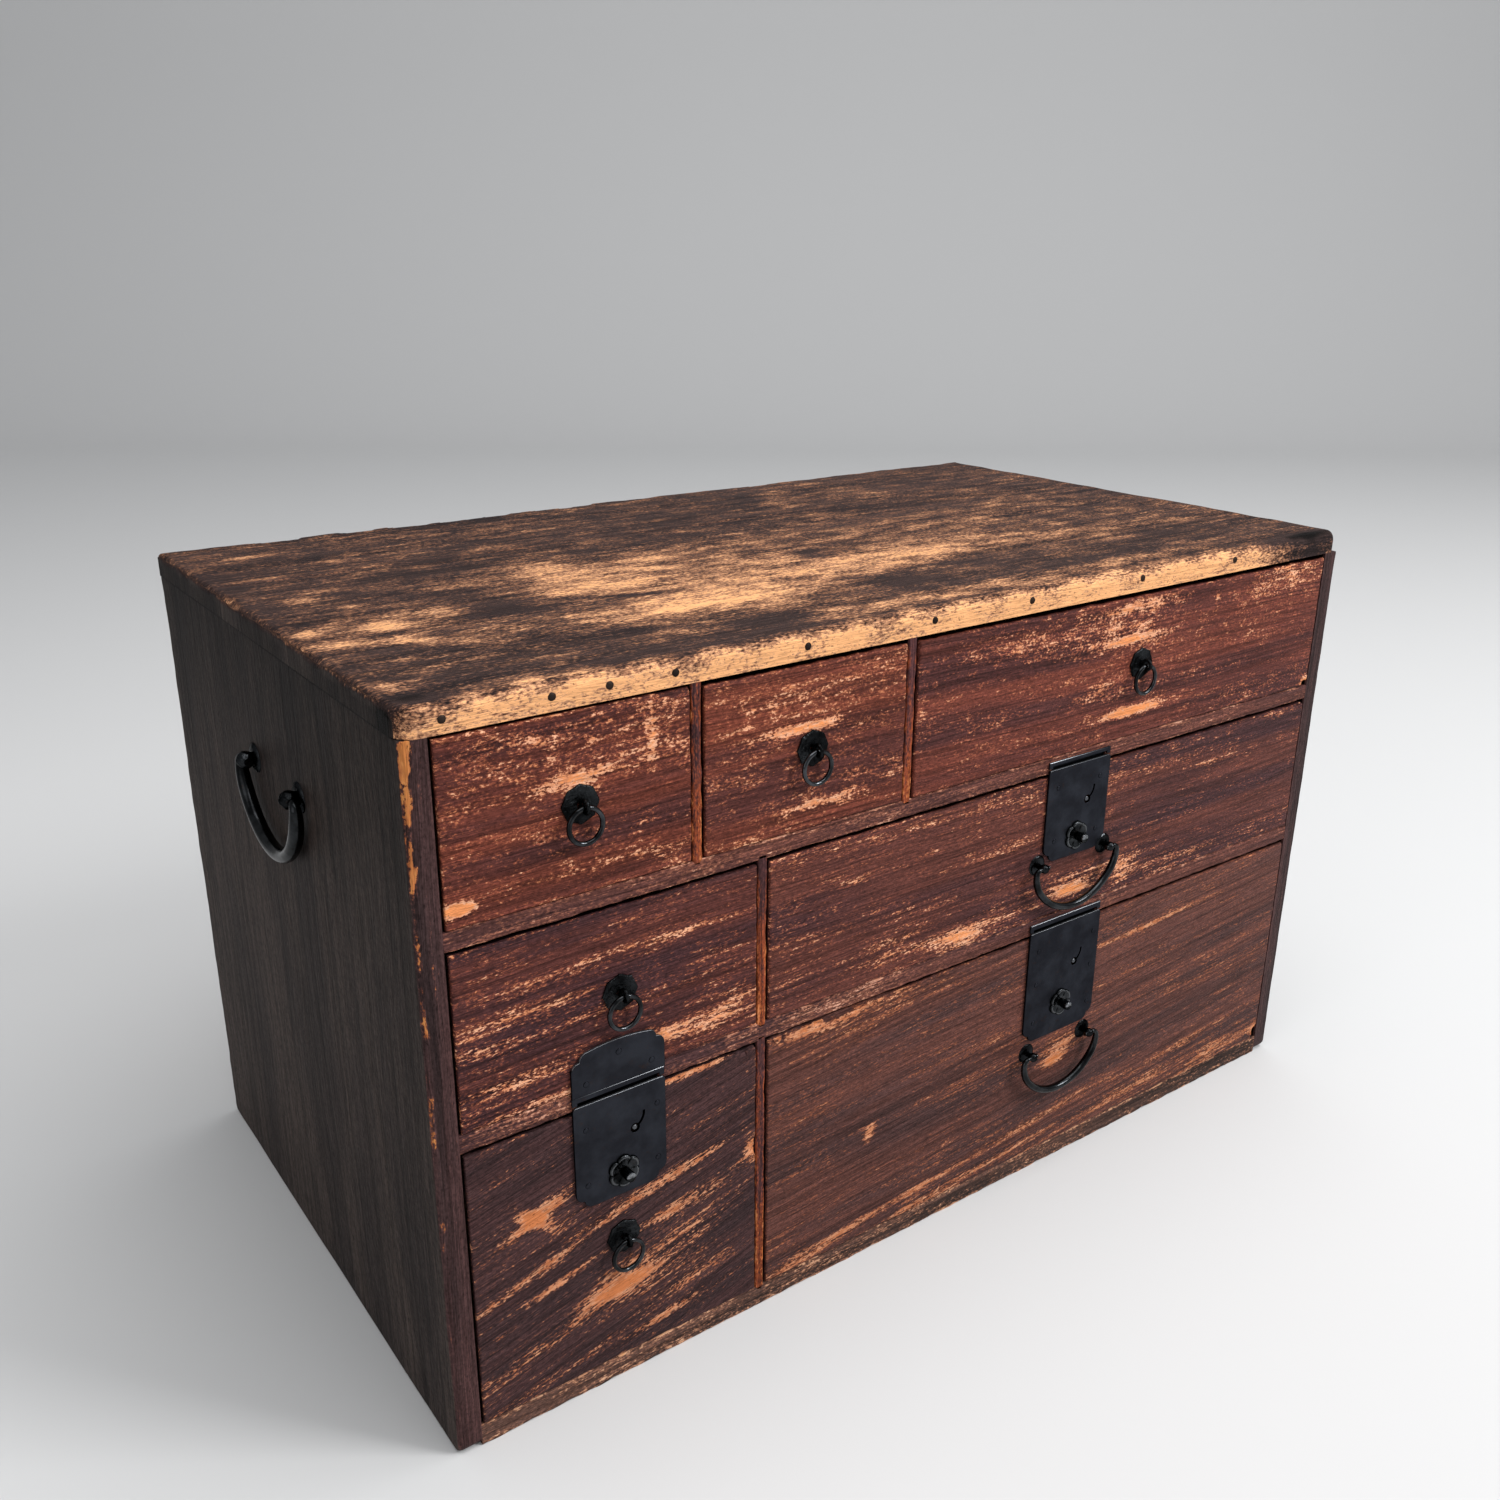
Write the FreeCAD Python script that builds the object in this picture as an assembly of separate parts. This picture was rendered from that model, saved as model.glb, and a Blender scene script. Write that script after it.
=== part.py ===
"""Small tansu: a table chest of seven lacquered drawers with forged iron fittings.

Millimetres. +X is to the chest's right, +Y goes to its back and +Z is up. The origin is on the
ground, at the centre of the case's footprint. Each function makes one kind of piece, and the end
of the file names every piece and writes it as a STEP file of its own.
"""
import FreeCAD, Part
import math
import os

V = FreeCAD.Vector
UP = V(0, 0, 1)
FORWARD = V(0, -1, 0)

# ---------------------------------------------------------------- driving dimensions of the case
WIDTH = 660.0
DEPTH = 368.0
HEIGHT = 395.0
SIDE_THICKNESS = 13.0
TOP_THICKNESS = 14.0
BOTTOM_THICKNESS = 13.0
BACK_THICKNESS = 7.0
LOWER_SHELF = (174.8, 185.2)
UPPER_SHELF = (280.0, 290.0)
DIVIDER_THICKNESS = 5.5
TOP_ROW_DIVIDERS = (-183.2, -47.6)
LEFT_COLUMN_DIVIDER = -143.8
SIDE_HOUSING = 3.0
DIVIDER_HOUSING = 2.0
TONGUE_THICKNESS = 5.0
TONGUE_HEIGHT = 5.0
TONGUE_STOP = 14.0
BACK_REBATE = 6.0
BACK_CHAMFER = 2.0
PLAN_CORNER = 9.0
WORN_ARRIS = 5.5
SIDE_ARRIS = 3.0
FOOT_CORNER = 6.0

# ---------------------------------------------------------------- driving dimensions of a drawer
FRONT_THICKNESS = 12.0
FRONT_PROUD = 0.3
FRONT_ARRIS = 0.8
SIDE_GAP = 0.9
TOP_GAP = 1.2
UNDER_GAP = 0.4
DRAWER_BOARD = 6.0
DRAWER_BOTTOM = 4.5
FRONT_LAP = 6.5
SIDE_SETDOWN = 4.0
BACK_GAP = 2.0

# ---------------------------------------------------------------- driving dimensions of the iron
RING_RADIUS = 8.7
RING_WIRE = 1.3
PULL_PLATE = 18.5
PULL_PLATE_THICKNESS = 1.2
PIN_WIRE = 0.95
PIN_EYE = 2.9
PIN_LEG = 1.0
PIN_NECK = 1.5
PIN_CLINCH = 8.0
PULL_PLATE_ARRIS = 0.4
PIN_FIT = 0.05
CLINCH_GAP = 0.02
RING_FIT = 0.15

LOCK_PLATE_THICKNESS = 1.6
KEYHOLE_RADIUS = 1.9
TAIL_RADIUS = 8.3
TAIL_WIDTH = 1.2
TAIL_CENTRE = (3.0, 8.0)
TAIL_RISE = 8.5
POCKET_LEFT = 9.0
POCKET_RIGHT = 15.0
POCKET_BELOW = 9.0
POCKET_CEILING = 6.2
POCKET_ROOM = 1.5
PLATE_TOP_RADIUS = 2.0
PLATE_STEP = 4.6
NAIL_HEAD = 2.1
NAIL_RISE = 0.7
NAIL_SHANK = 0.8
NAIL_LENGTH = 7.0
BOLT_TRAVEL = 6.0
BOLT_WIDTH = 10.0
BOLT_THICKNESS = 3.0
BOLT_SETBACK = 5.0
BOLT_TAIL = 6.0
BOLT_LEAD = 1.0
BOLT_FIT = 0.3
BOLT_HIDDEN = 0.4
STRAP_WIDTH = 4.0
STRAP_THICKNESS = 0.9
STRAP_FOOT = 1.9
LOWER_STRAP = 14.0
UPPER_STRAP = 18.0
STEM_RADIUS = 2.0
STUD_RADIUS = 2.8
STUD_LENGTH = 6.5
STUD_ROUND = 1.2
PETAL_COUNT = 6
ROSETTE_RADIUS = 9.3
ROSETTE_THICKNESS = 1.5
ROSETTE_GAP = 0.15
PETAL_SHARE = 0.36
PETAL_ARRIS = 0.5

BAIL_RUNNING_FIT = 0.07
PIN_END = 0.8
PIN_SHOULDER = 0.3
NECK_SHARE = 0.62
WASHER_RISE_SHARE = 0.2
BURR_RADIUS = 3.4
BURR_THICKNESS = 1.0
RIVETED_END = 1.6
BLIND_END = 1.0


# ---------------------------------------------------------------- planes worked out from the above
RIGHT = WIDTH / 2
FRONT = -DEPTH / 2
REAR = DEPTH / 2
SIDE_INNER = RIGHT - SIDE_THICKNESS
SIDE_TOP = HEIGHT - TOP_THICKNESS
BACK_FACE = REAR - BACK_THICKNESS
DRAWER_FACE = FRONT - FRONT_PROUD
DRAWER_INNER = DRAWER_FACE + FRONT_THICKNESS
LOCK_BACK = DRAWER_FACE
LOCK_FACE = DRAWER_FACE - LOCK_PLATE_THICKNESS
BOLT_FRONT = DRAWER_FACE + BOLT_SETBACK
BOLT_BACK = BOLT_FRONT + BOLT_THICKNESS


# ---------------------------------------------------------------- shared shapes
def box(x, y, z):
    """A box between two values along each axis, given in either order."""
    low = V(min(x), min(y), min(z))
    return Part.makeBox(max(x) - low.x, max(y) - low.y, max(z) - low.z, low)


def rod(radius, start, direction, length):
    """A round bar from a point, along a direction."""
    return Part.makeCylinder(radius, length, start, direction)


def aimed(shape, base, direction):
    """A shape made on the origin and +Z, moved to a base and turned to a direction."""
    moved = shape.copy()
    moved.Placement = FreeCAD.Placement(base, FreeCAD.Rotation(UP, direction))
    return moved


def edges_in(shape, **planes):
    """The edges whose ends lie in every plane that is named, such as y=0."""
    def lies(point):
        return all(abs(getattr(point, axis) - value) < 1e-6 for axis, value in planes.items())
    return [edge for edge in shape.Edges if all(lies(end.Point) for end in edge.Vertexes)]


def turned(radius_height_pairs):
    """A closed profile of (radius, height) points, turned about +Z."""
    points = [V(radius, 0, height) for radius, height in radius_height_pairs]
    face = Part.Face(Part.makePolygon(points + points[:1]))
    return face.revolve(V(0, 0, 0), UP, 360)


def dome(radius, rise):
    """A cap of a sphere that stands on z = 0."""
    ball = (radius ** 2 + rise ** 2) / (2 * rise)
    halfway = math.asin(radius / ball) / 2
    flank = V(ball * math.sin(halfway), 0, rise - ball + ball * math.cos(halfway))
    crown = Part.Arc(V(radius, 0, 0), flank, V(0, 0, rise)).toShape()
    base = Part.makeLine(V(0, 0, 0), V(radius, 0, 0))
    axis = Part.makeLine(V(0, 0, rise), V(0, 0, 0))
    return Part.Face(Part.Wire([base, crown, axis])).revolve(V(0, 0, 0), UP, 360)


def nail_shank(head, outward):
    """The part of a nail that is driven in below its head."""
    return rod(NAIL_SHANK, head, outward * -1, NAIL_LENGTH)


def nail(head, outward):
    """A hand-made nail with a low domed head that sits on a surface."""
    return aimed(dome(NAIL_HEAD, NAIL_RISE), head, outward).fuse(nail_shank(head, outward))


# ---------------------------------------------------------------- the drawer openings
# Each opening is its (left, right) walls and its (lower, upper) boards.
def divider_faces(centre):
    return centre - DIVIDER_THICKNESS / 2, centre + DIVIDER_THICKNESS / 2


FIRST_TOP, SECOND_TOP = [divider_faces(x) for x in TOP_ROW_DIVIDERS]
COLUMN = divider_faces(LEFT_COLUMN_DIVIDER)
TOP_ROW = (UPPER_SHELF[1], SIDE_TOP)
MIDDLE_ROW = (LOWER_SHELF[1], UPPER_SHELF[0])
BOTTOM_ROW = (BOTTOM_THICKNESS, LOWER_SHELF[0])

OPENINGS = {
    "top_left": ((-SIDE_INNER, FIRST_TOP[0]), TOP_ROW),
    "top_middle": ((FIRST_TOP[1], SECOND_TOP[0]), TOP_ROW),
    "top_right": ((SECOND_TOP[1], SIDE_INNER), TOP_ROW),
    "middle_left": ((-SIDE_INNER, COLUMN[0]), MIDDLE_ROW),
    "middle_right": ((COLUMN[1], SIDE_INNER), MIDDLE_ROW),
    "bottom_left": ((-SIDE_INNER, COLUMN[0]), BOTTOM_ROW),
    "bottom_right": ((COLUMN[1], SIDE_INNER), BOTTOM_ROW),
}


# ---------------------------------------------------------------- where the iron is
RING_PULLS = {
    "top_left": (-247.0, 335.0),
    "top_middle": (-113.5, 334.0),
    "top_right": (137.5, 336.0),
    "middle_left": (-229.5, 232.6),
    "bottom_left": (-231.7, 90.0),
}


class Lock:
    """Where one lock is: its plate, knob, keyhole and nails, and the shelf above it."""

    def __init__(self, centre, width, bottom, top, knob, keyhole, nails, shelf, strike):
        self.centre = centre
        self.left = centre - width / 2
        self.right = centre + width / 2
        self.bottom = bottom
        self.top = top
        self.knob = knob
        self.keyhole = keyhole
        self.nails = nails
        self.shelf_bottom = shelf[0]
        self.strike_low, self.strike_high = strike


def nail_rows(centre, half_width, heights):
    """A pair of nails at each height, one near each edge of a plate."""
    return [(centre + side * half_width, z) for z in heights for side in (-1, 1)]


LOCKS = {
    "middle_right": Lock(90.2, 53.0, 222.8, 282.6, (91.0, 235.5), (98.6, 257.4),
                         nail_rows(90.2, 18.2, (270.4, 235.8)), UPPER_SHELF, (284.9, 287.5)),
    "bottom_right": Lock(90.1, 62.8, 99.4, 176.7, (90.1, 120.5), (100.5, 146.0),
                         nail_rows(91.4, 24.6, (163.0, 139.5, 112.3)), LOWER_SHELF, (178.8, 182.3)),
    "bottom_left": Lock(-232.0, 53.0, 117.2, 177.4, (-231.2, 131.0), (-223.8, 153.5),
                        nail_rows(-231.2, 20.6, (163.1, 130.5)), LOWER_SHELF, (179.6, 182.7)),
}
PLAQUE_NAILS = [(-250.7, 189.0), (-232.0, 201.0), (-213.3, 189.5)]
PLAQUE_BOTTOM = 183.1
PLAQUE_TOP = 206.6
PLAQUE_ARCH = 1.6


def on_arc(centre, radius, degrees):
    """A point of a circle in a handle's plane, from an angle measured anticlockwise."""
    turn = math.radians(degrees)
    return centre[0] + radius * math.cos(turn), centre[1] + radius * math.sin(turn)


class Bail:
    """A drop handle in its own plane: u runs between its two posts and w is height.

    Its bar leaves each post outwards, bends down, and then follows a three-centred arch: a
    haunch at each side and one wide belly.
    """

    def __init__(self, half_posts, half_width, drop, pin, thick, washer, ball, stand_off):
        self.half_posts = half_posts
        self.half_width = half_width
        self.drop = drop
        self.pin = pin
        self.thick = thick
        self.washer = washer
        self.ball = ball
        self.stand_off = stand_off
        self.shoulder = half_posts + ball + PIN_SHOULDER
        self.bend = half_width - self.shoulder
        rise = drop - self.bend
        self.haunch = 0.75 * rise
        across = half_width - self.haunch
        self.belly = (across ** 2 + rise ** 2 - self.haunch ** 2) / (2 * (rise - self.haunch))

    def arcs(self):
        """(centre, radius, first angle, last angle) of each arc, from one pin to the other."""
        haunch_centre = (self.haunch - self.half_width, -self.bend)
        belly_centre = (0.0, self.belly - self.drop)
        lean = 180 + math.degrees(math.atan2(belly_centre[1] - haunch_centre[1],
                                             belly_centre[0] - haunch_centre[0]))
        left = [((-self.shoulder, -self.bend), self.bend, 90, 180),
                (haunch_centre, self.haunch, 180, lean),
                (belly_centre, self.belly, lean, 270)]
        right = [((-u, w), radius, 540 - last, 540 - first)
                 for (u, w), radius, first, last in reversed(left)]
        return left + right

    def bar_radii(self):
        """The bar's radius at the start of each arc and at the end of the last."""
        half = [self.pin, (self.pin + self.thick) / 2, 0.97 * self.thick]
        return half + [self.thick] + half[::-1]


FRONT_BAILS = {
    "middle_right": (Bail(29.0, 35.3, 31.2, 1.3, 2.4, 6.5, 2.9, 6.2), (89.3, 222.6)),
    "bottom_right": (Bail(25.8, 33.2, 30.7, 1.3, 2.4, 6.5, 2.9, 6.2), (90.0, 91.0)),
}
SIDE_BAIL = Bail(34.8, 44.0, 40.5, 2.1, 4.1, 8.4, 5.2, 5.4)
SIDE_BAIL_CENTRE = (-9.2, 311.0)
TOP_NAILS = [(-310.0, 387.6), (-258.5, 387.9), (-229.5, 387.9), (-194.5, 387.7), (-117.3, 387.7),
             (-33.0, 388.1), (39.5, 388.5), (132.0, 388.8), (219.0, 388.8)]


# ---------------------------------------------------------------- case boards
def top_board():
    """The lid board, with worn arrises, tongue grooves for the sides and a rebate for the back."""
    board = box((-RIGHT, RIGHT), (FRONT, REAR), (SIDE_TOP, HEIGHT))
    corners = [e for x in (-RIGHT, RIGHT) for e in edges_in(board, x=x, y=FRONT)]
    board = board.makeFillet(PLAN_CORNER, corners)
    rim = [e for e in edges_in(board, z=HEIGHT) if e.CenterOfMass.y < REAR - 1]
    board = board.makeFillet(WORN_ARRIS, rim)
    grooves = [box((s * SIDE_INNER, s * (SIDE_INNER + TONGUE_THICKNESS)),
                   (FRONT + TONGUE_STOP, BACK_FACE), (SIDE_TOP, SIDE_TOP + TONGUE_HEIGHT))
               for s in (-1, 1)]
    back = box((-SIDE_INNER - BACK_REBATE, SIDE_INNER + BACK_REBATE), (BACK_FACE, REAR),
               (SIDE_TOP, SIDE_TOP + TONGUE_HEIGHT))
    housings = [divider_housing(x, SIDE_TOP, 1) for x in TOP_ROW_DIVIDERS]
    return board.cut(grooves + housings + [back] + [nail_shank(*n) for n in top_nail_seats()])


def top_nail_seats():
    """Where each nail is driven into the lid's front edge, just below its worn arris."""
    return [(V(x, FRONT, z), FORWARD) for x, z in TOP_NAILS]


def case_nails():
    return [nail(head, outward) for head, outward in top_nail_seats()]


def side_board(hand):
    """An upright side that runs to the ground. hand is -1 for the left and 1 for the right."""
    inner, outer = hand * SIDE_INNER, hand * RIGHT
    board = box((inner, outer), (FRONT, REAR), (0, SIDE_TOP))
    feet = edges_in(board, y=FRONT, z=0) + edges_in(board, y=REAR, z=0)
    board = board.makeFillet(FOOT_CORNER, feet)
    arrises = edges_in(board, x=outer, y=FRONT) + edges_in(board, x=outer, y=REAR)
    board = board.makeFillet(SIDE_ARRIS, arrises)
    tongue = box((inner, inner + hand * TONGUE_THICKNESS), (FRONT + TONGUE_STOP, BACK_FACE),
                 (SIDE_TOP, SIDE_TOP + TONGUE_HEIGHT))
    housed = inner + hand * SIDE_HOUSING
    shelves = [box((inner, housed), (FRONT, BACK_FACE), z)
               for z in (LOWER_SHELF, UPPER_SHELF, (0, BOTTOM_THICKNESS))]
    rebate = box((inner, inner + hand * BACK_REBATE), (BACK_FACE, REAR), (0, SIDE_TOP))
    return board.fuse(tongue).cut(shelves + [rebate] + side_post_holes(hand))


def side_post_holes(hand):
    """Blind holes that the shanks of a side handle's posts are driven into."""
    return [rod(SIDE_BAIL.pin, V(hand * RIGHT, y, SIDE_BAIL_CENTRE[1]), V(-hand, 0, 0),
                SIDE_THICKNESS - BLIND_END)
            for y in post_places(SIDE_BAIL, SIDE_BAIL_CENTRE[0])]


def post_places(bail, middle):
    return (middle - bail.half_posts, middle + bail.half_posts)


def divider_housing(x, face, direction):
    """A shallow groove for a divider's end in a board's face, cut up (1) or down (-1)."""
    return box(divider_faces(x), (FRONT, BACK_FACE), (face, face + direction * DIVIDER_HOUSING))


def bottom_board():
    ends = SIDE_INNER + SIDE_HOUSING
    board = box((-ends, ends), (FRONT, BACK_FACE), (0, BOTTOM_THICKNESS))
    return board.cut(divider_housing(LEFT_COLUMN_DIVIDER, BOTTOM_THICKNESS, -1))


def back_board():
    """The thin back, let into rebates in the sides and the lid."""
    ends = SIDE_INNER + BACK_REBATE
    board = box((-ends, ends), (BACK_FACE, REAR), (0, SIDE_TOP + TONGUE_HEIGHT))
    feet = [e for x in (-ends, ends) for e in edges_in(board, x=x, z=0)]
    return board.makeChamfer(BACK_CHAMFER, feet)


def shelf(levels, housings, locks):
    """A shelf housed in the sides, with housings for dividers and a keeper recess per lock."""
    ends = SIDE_INNER + SIDE_HOUSING
    board = box((-ends, ends), (FRONT, BACK_FACE), levels)
    recesses = [piece for lock in locks for piece in (strike_body(lock), bolt_mortise(lock))]
    recesses += [strike_mouth(lock) for lock in locks]
    return board.cut(housings + recesses)


def upper_shelf():
    above = [divider_housing(x, UPPER_SHELF[1], -1) for x in TOP_ROW_DIVIDERS]
    below = [divider_housing(LEFT_COLUMN_DIVIDER, UPPER_SHELF[0], 1)]
    return shelf(UPPER_SHELF, above + below, [LOCKS["middle_right"]])


def lower_shelf():
    housings = [divider_housing(LEFT_COLUMN_DIVIDER, LOWER_SHELF[1], -1),
                divider_housing(LEFT_COLUMN_DIVIDER, LOWER_SHELF[0], 1)]
    return shelf(LOWER_SHELF, housings, [LOCKS["bottom_right"], LOCKS["bottom_left"]])


def divider(x, row):
    """A thin upright between two drawers, housed in the boards above and below it."""
    ends = (row[0] - DIVIDER_HOUSING, row[1] + DIVIDER_HOUSING)
    return box(divider_faces(x), (FRONT, BACK_FACE), ends)


# ---------------------------------------------------------------- strike plates on the shelf edges
STRIKE_THICKNESS = 1.4
STRIKE_LEG = 3.0
LINING = 0.8
MOUTH_DEPTH = 2.2
KEEPER_LENGTH = 16.0
STRIKE_LEG_DROP = 1.6
BOLT_ROOM = 0.6
MORTISE_DEPTH = 6.6


def bolt_window(lock, low, high):
    """The space that a lock's bolt may rise through, between two heights."""
    half = BOLT_WIDTH / 2 + BOLT_ROOM
    return box((lock.knob[0] - half, lock.knob[0] + half),
               (BOLT_FRONT - BOLT_ROOM, BOLT_BACK + BOLT_ROOM), (low, high))


def bolt_mortise(lock):
    return bolt_window(lock, lock.shelf_bottom, lock.shelf_bottom + MORTISE_DEPTH)


def strike_mouth(lock):
    """The dark recess in a shelf's edge, which the top of the lock plate stands in front of."""
    return box((lock.left + STRIKE_LEG, lock.right - STRIKE_LEG), (FRONT, FRONT + MOUTH_DEPTH),
               (lock.shelf_bottom, lock.strike_low))


def strike_body(lock):
    """The folded iron of a strike plate: strip, recess lining and the keeper under the shelf."""
    mouth = (lock.left + STRIKE_LEG, lock.right - STRIKE_LEG)
    lining_front = FRONT + MOUTH_DEPTH - LINING
    strip = box((lock.left, lock.right), (FRONT - STRIKE_THICKNESS, FRONT),
                (lock.strike_low, lock.strike_high))
    roof = box(mouth, (FRONT, FRONT + MOUTH_DEPTH), (lock.strike_low, lock.strike_low + LINING))
    lining = box(mouth, (lining_front, FRONT + MOUTH_DEPTH), (lock.shelf_bottom, lock.strike_low))
    half = BOLT_WIDTH / 2 + STRIKE_LEG
    keeper = box((lock.knob[0] - half, lock.knob[0] + half),
                 (lining_front, lining_front + KEEPER_LENGTH),
                 (lock.shelf_bottom, lock.shelf_bottom + LINING))
    legs = [box((edge, edge + inward * STRIKE_LEG), (FRONT - STRIKE_THICKNESS, FRONT),
                (lock.strike_low - STRIKE_LEG_DROP, lock.strike_low))
            for edge, inward in ((lock.left, 1), (lock.right, -1))]
    body = strip.fuse([roof, lining, keeper] + legs).removeSplitter()
    return body.cut(bolt_window(lock, lock.shelf_bottom, lock.shelf_bottom + LINING))


def strike_plate(lock):
    """A strike plate, with the upper corners of its strip rounded."""
    body = strike_body(lock)
    corners = [e for x in (lock.left, lock.right) for e in edges_in(body, x=x, z=lock.strike_high)]
    return body.makeFillet(STRIKE_THICKNESS, corners)


# ---------------------------------------------------------------- drawers
def drawer_extent(name):
    """The outside of a drawer's front: the opening less its running gaps."""
    (left, right), (below, above) = OPENINGS[name]
    return (left + SIDE_GAP, right - SIDE_GAP), (below + UNDER_GAP, above - TOP_GAP)


def drawer_front(name):
    """The show board, lapped for the sides and bottom and bored for its own iron."""
    x, z = drawer_extent(name)
    board = box(x, (DRAWER_FACE, DRAWER_INNER), z)
    board = board.makeFillet(FRONT_ARRIS, edges_in(board, y=DRAWER_FACE))
    lap = (DRAWER_INNER - FRONT_LAP, DRAWER_INNER)
    height = (z[0], z[1] - SIDE_SETDOWN)
    laps = [box((x[0], x[0] + DRAWER_BOARD), lap, height),
            box((x[1], x[1] - DRAWER_BOARD), lap, height),
            box(x, lap, (z[0], z[0] + DRAWER_BOTTOM))]
    bores = []
    if name in RING_PULLS:
        bores.append(pull_hole(name))
    if name in LOCKS:
        bores += lock_mortise(name)
        bores += [nail_shank(V(x, LOCK_BACK, z), FORWARD) for x, z in LOCKS[name].nails]
    if name in FRONT_BAILS:
        bores += front_post_holes(name)
    if name == "middle_left":
        bores += [nail_shank(V(x, LOCK_BACK, z), FORWARD) for x, z in PLAQUE_NAILS]
    return board.cut(laps + bores)


def drawer_box(name):
    """The two sides and the back of a drawer, as three boards."""
    x, z = drawer_extent(name)
    low, high = z[0] + DRAWER_BOTTOM, z[1] - SIDE_SETDOWN
    rear = BACK_FACE - BACK_GAP
    length = (DRAWER_INNER - FRONT_LAP, rear)
    left = box((x[0], x[0] + DRAWER_BOARD), length, (low, high))
    right = box((x[1], x[1] - DRAWER_BOARD), length, (low, high))
    back = box((x[0] + DRAWER_BOARD, x[1] - DRAWER_BOARD), (rear - DRAWER_BOARD, rear), (low, high))
    return [left, right, back]


def drawer_bottom(name):
    x, z = drawer_extent(name)
    return box(x, (DRAWER_INNER - FRONT_LAP, BACK_FACE - BACK_GAP), (z[0], z[0] + DRAWER_BOTTOM))


# ---------------------------------------------------------------- ring pulls
PULL_FACE = DRAWER_FACE - PULL_PLATE_THICKNESS
NECK_REACH = math.sqrt((PIN_EYE + PIN_NECK) ** 2 - (PIN_LEG + PIN_NECK) ** 2)
EYE_Y = PULL_FACE - NECK_REACH
RING_DROP = PIN_EYE - PIN_WIRE - RING_WIRE - RING_FIT
PIN_HOLE = PIN_LEG + PIN_WIRE + PIN_FIT


def ring_pivot(name):
    """Where a ring's bar passes through its eye, low in the eye, because the ring hangs there."""
    x, z = RING_PULLS[name]
    return V(x, EYE_Y, z - RING_DROP)


def pull_hole(name):
    x, z = RING_PULLS[name]
    return rod(PIN_HOLE, V(x, DRAWER_FACE, z), V(0, 1, 0), FRONT_THICKNESS)


def pull_plate(name):
    """The eight-sided plate behind a ring, with its front arris knocked down."""
    x, z = RING_PULLS[name]
    turns = [math.radians(45 * (k + 0.5)) for k in range(8)]
    radius = PULL_PLATE / 2 / math.cos(turns[0])
    rim = [V(x + radius * math.sin(t), DRAWER_FACE, z + radius * math.cos(t)) for t in turns]
    plate = Part.Face(Part.makePolygon(rim + rim[:1])).extrude(FORWARD * PULL_PLATE_THICKNESS)
    plate = plate.makeChamfer(PULL_PLATE_ARRIS, edges_in(plate, y=PULL_FACE))
    return plate.cut(rod(PIN_HOLE, V(x, DRAWER_FACE, z), FORWARD, PULL_PLATE_THICKNESS))


def split_pin(name):
    """One wire bent to an eye, its two legs through the front and clinched apart inside."""
    x, z = RING_PULLS[name]
    clinch = DRAWER_INNER + PIN_WIRE + CLINCH_GAP
    bend = clinch - DRAWER_INNER
    touch = PIN_EYE / (PIN_EYE + PIN_NECK)
    meet = (EYE_Y + NECK_REACH * touch, (PIN_LEG + PIN_NECK) * touch)
    lean = math.atan2(PIN_LEG + PIN_NECK, NECK_REACH)
    neck = (PULL_FACE - PIN_NECK * math.sin((math.pi / 2 - lean) / 2),
            PIN_LEG + PIN_NECK - PIN_NECK * math.cos((math.pi / 2 - lean) / 2))
    corner = bend * (1 - math.sin(math.radians(45)))

    def at(y, height, side):
        return V(x, y, z + side * height)

    def leg(side):
        tip = at(clinch, PIN_LEG + bend + PIN_CLINCH, side)
        turn_out = at(clinch, PIN_LEG + bend, side)
        turn_mid = at(clinch - corner, PIN_LEG + corner, side)
        turn_in = at(DRAWER_INNER, PIN_LEG, side)
        throat = at(PULL_FACE, PIN_LEG, side)
        return [Part.makeLine(tip, turn_out), Part.Arc(turn_out, turn_mid, turn_in).toShape(),
                Part.makeLine(turn_in, throat),
                Part.Arc(throat, at(neck[0], neck[1], side), at(meet[0], meet[1], side)).toShape()]

    eye = Part.Arc(at(meet[0], meet[1], 1), V(x, EYE_Y - PIN_EYE, z), at(meet[0], meet[1], -1))
    path = Part.Wire(Part.__sortEdges__(leg(1) + [eye.toShape()] + leg(-1)))
    start = at(clinch, PIN_LEG + bend + PIN_CLINCH, 1)
    section = Part.Wire(Part.makeCircle(PIN_WIRE, start, UP))
    return path.makePipeShell([section], True, False)


def ring_mount(name):
    return [pull_plate(name), split_pin(name)]


def ring(name):
    """A plain forged ring that hangs in its eye, parallel to the drawer front."""
    return Part.makeTorus(RING_RADIUS, RING_WIRE, ring_pivot(name) - UP * RING_RADIUS, FORWARD)


# ---------------------------------------------------------------- lock and corner plates
def stepped_corner(corner, first, second):
    """Two bulging quarter rounds that meet at a cusp, in a plate's corner.

    corner is the square corner, and first and second are the directions from it to the start
    and the end of the corner's outline.
    """
    slant = PLATE_STEP * (1 - math.sin(math.radians(45)))
    cusp = corner + (first + second) * PLATE_STEP
    start, end = corner + first * (2 * PLATE_STEP), corner + second * (2 * PLATE_STEP)
    upper = corner + second * slant + first * (PLATE_STEP + slant)
    lower = corner + first * slant + second * (PLATE_STEP + slant)
    return [Part.Arc(start, upper, cusp).toShape(), Part.Arc(cusp, lower, end).toShape()]


def round_corner(corner, first, second, radius):
    """A quarter round in a plate's corner, between the same two directions."""
    slant = radius * (1 - math.sin(math.radians(45)))
    return Part.Arc(corner + first * radius, corner + (first + second) * slant,
                    corner + second * radius).toShape()


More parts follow.
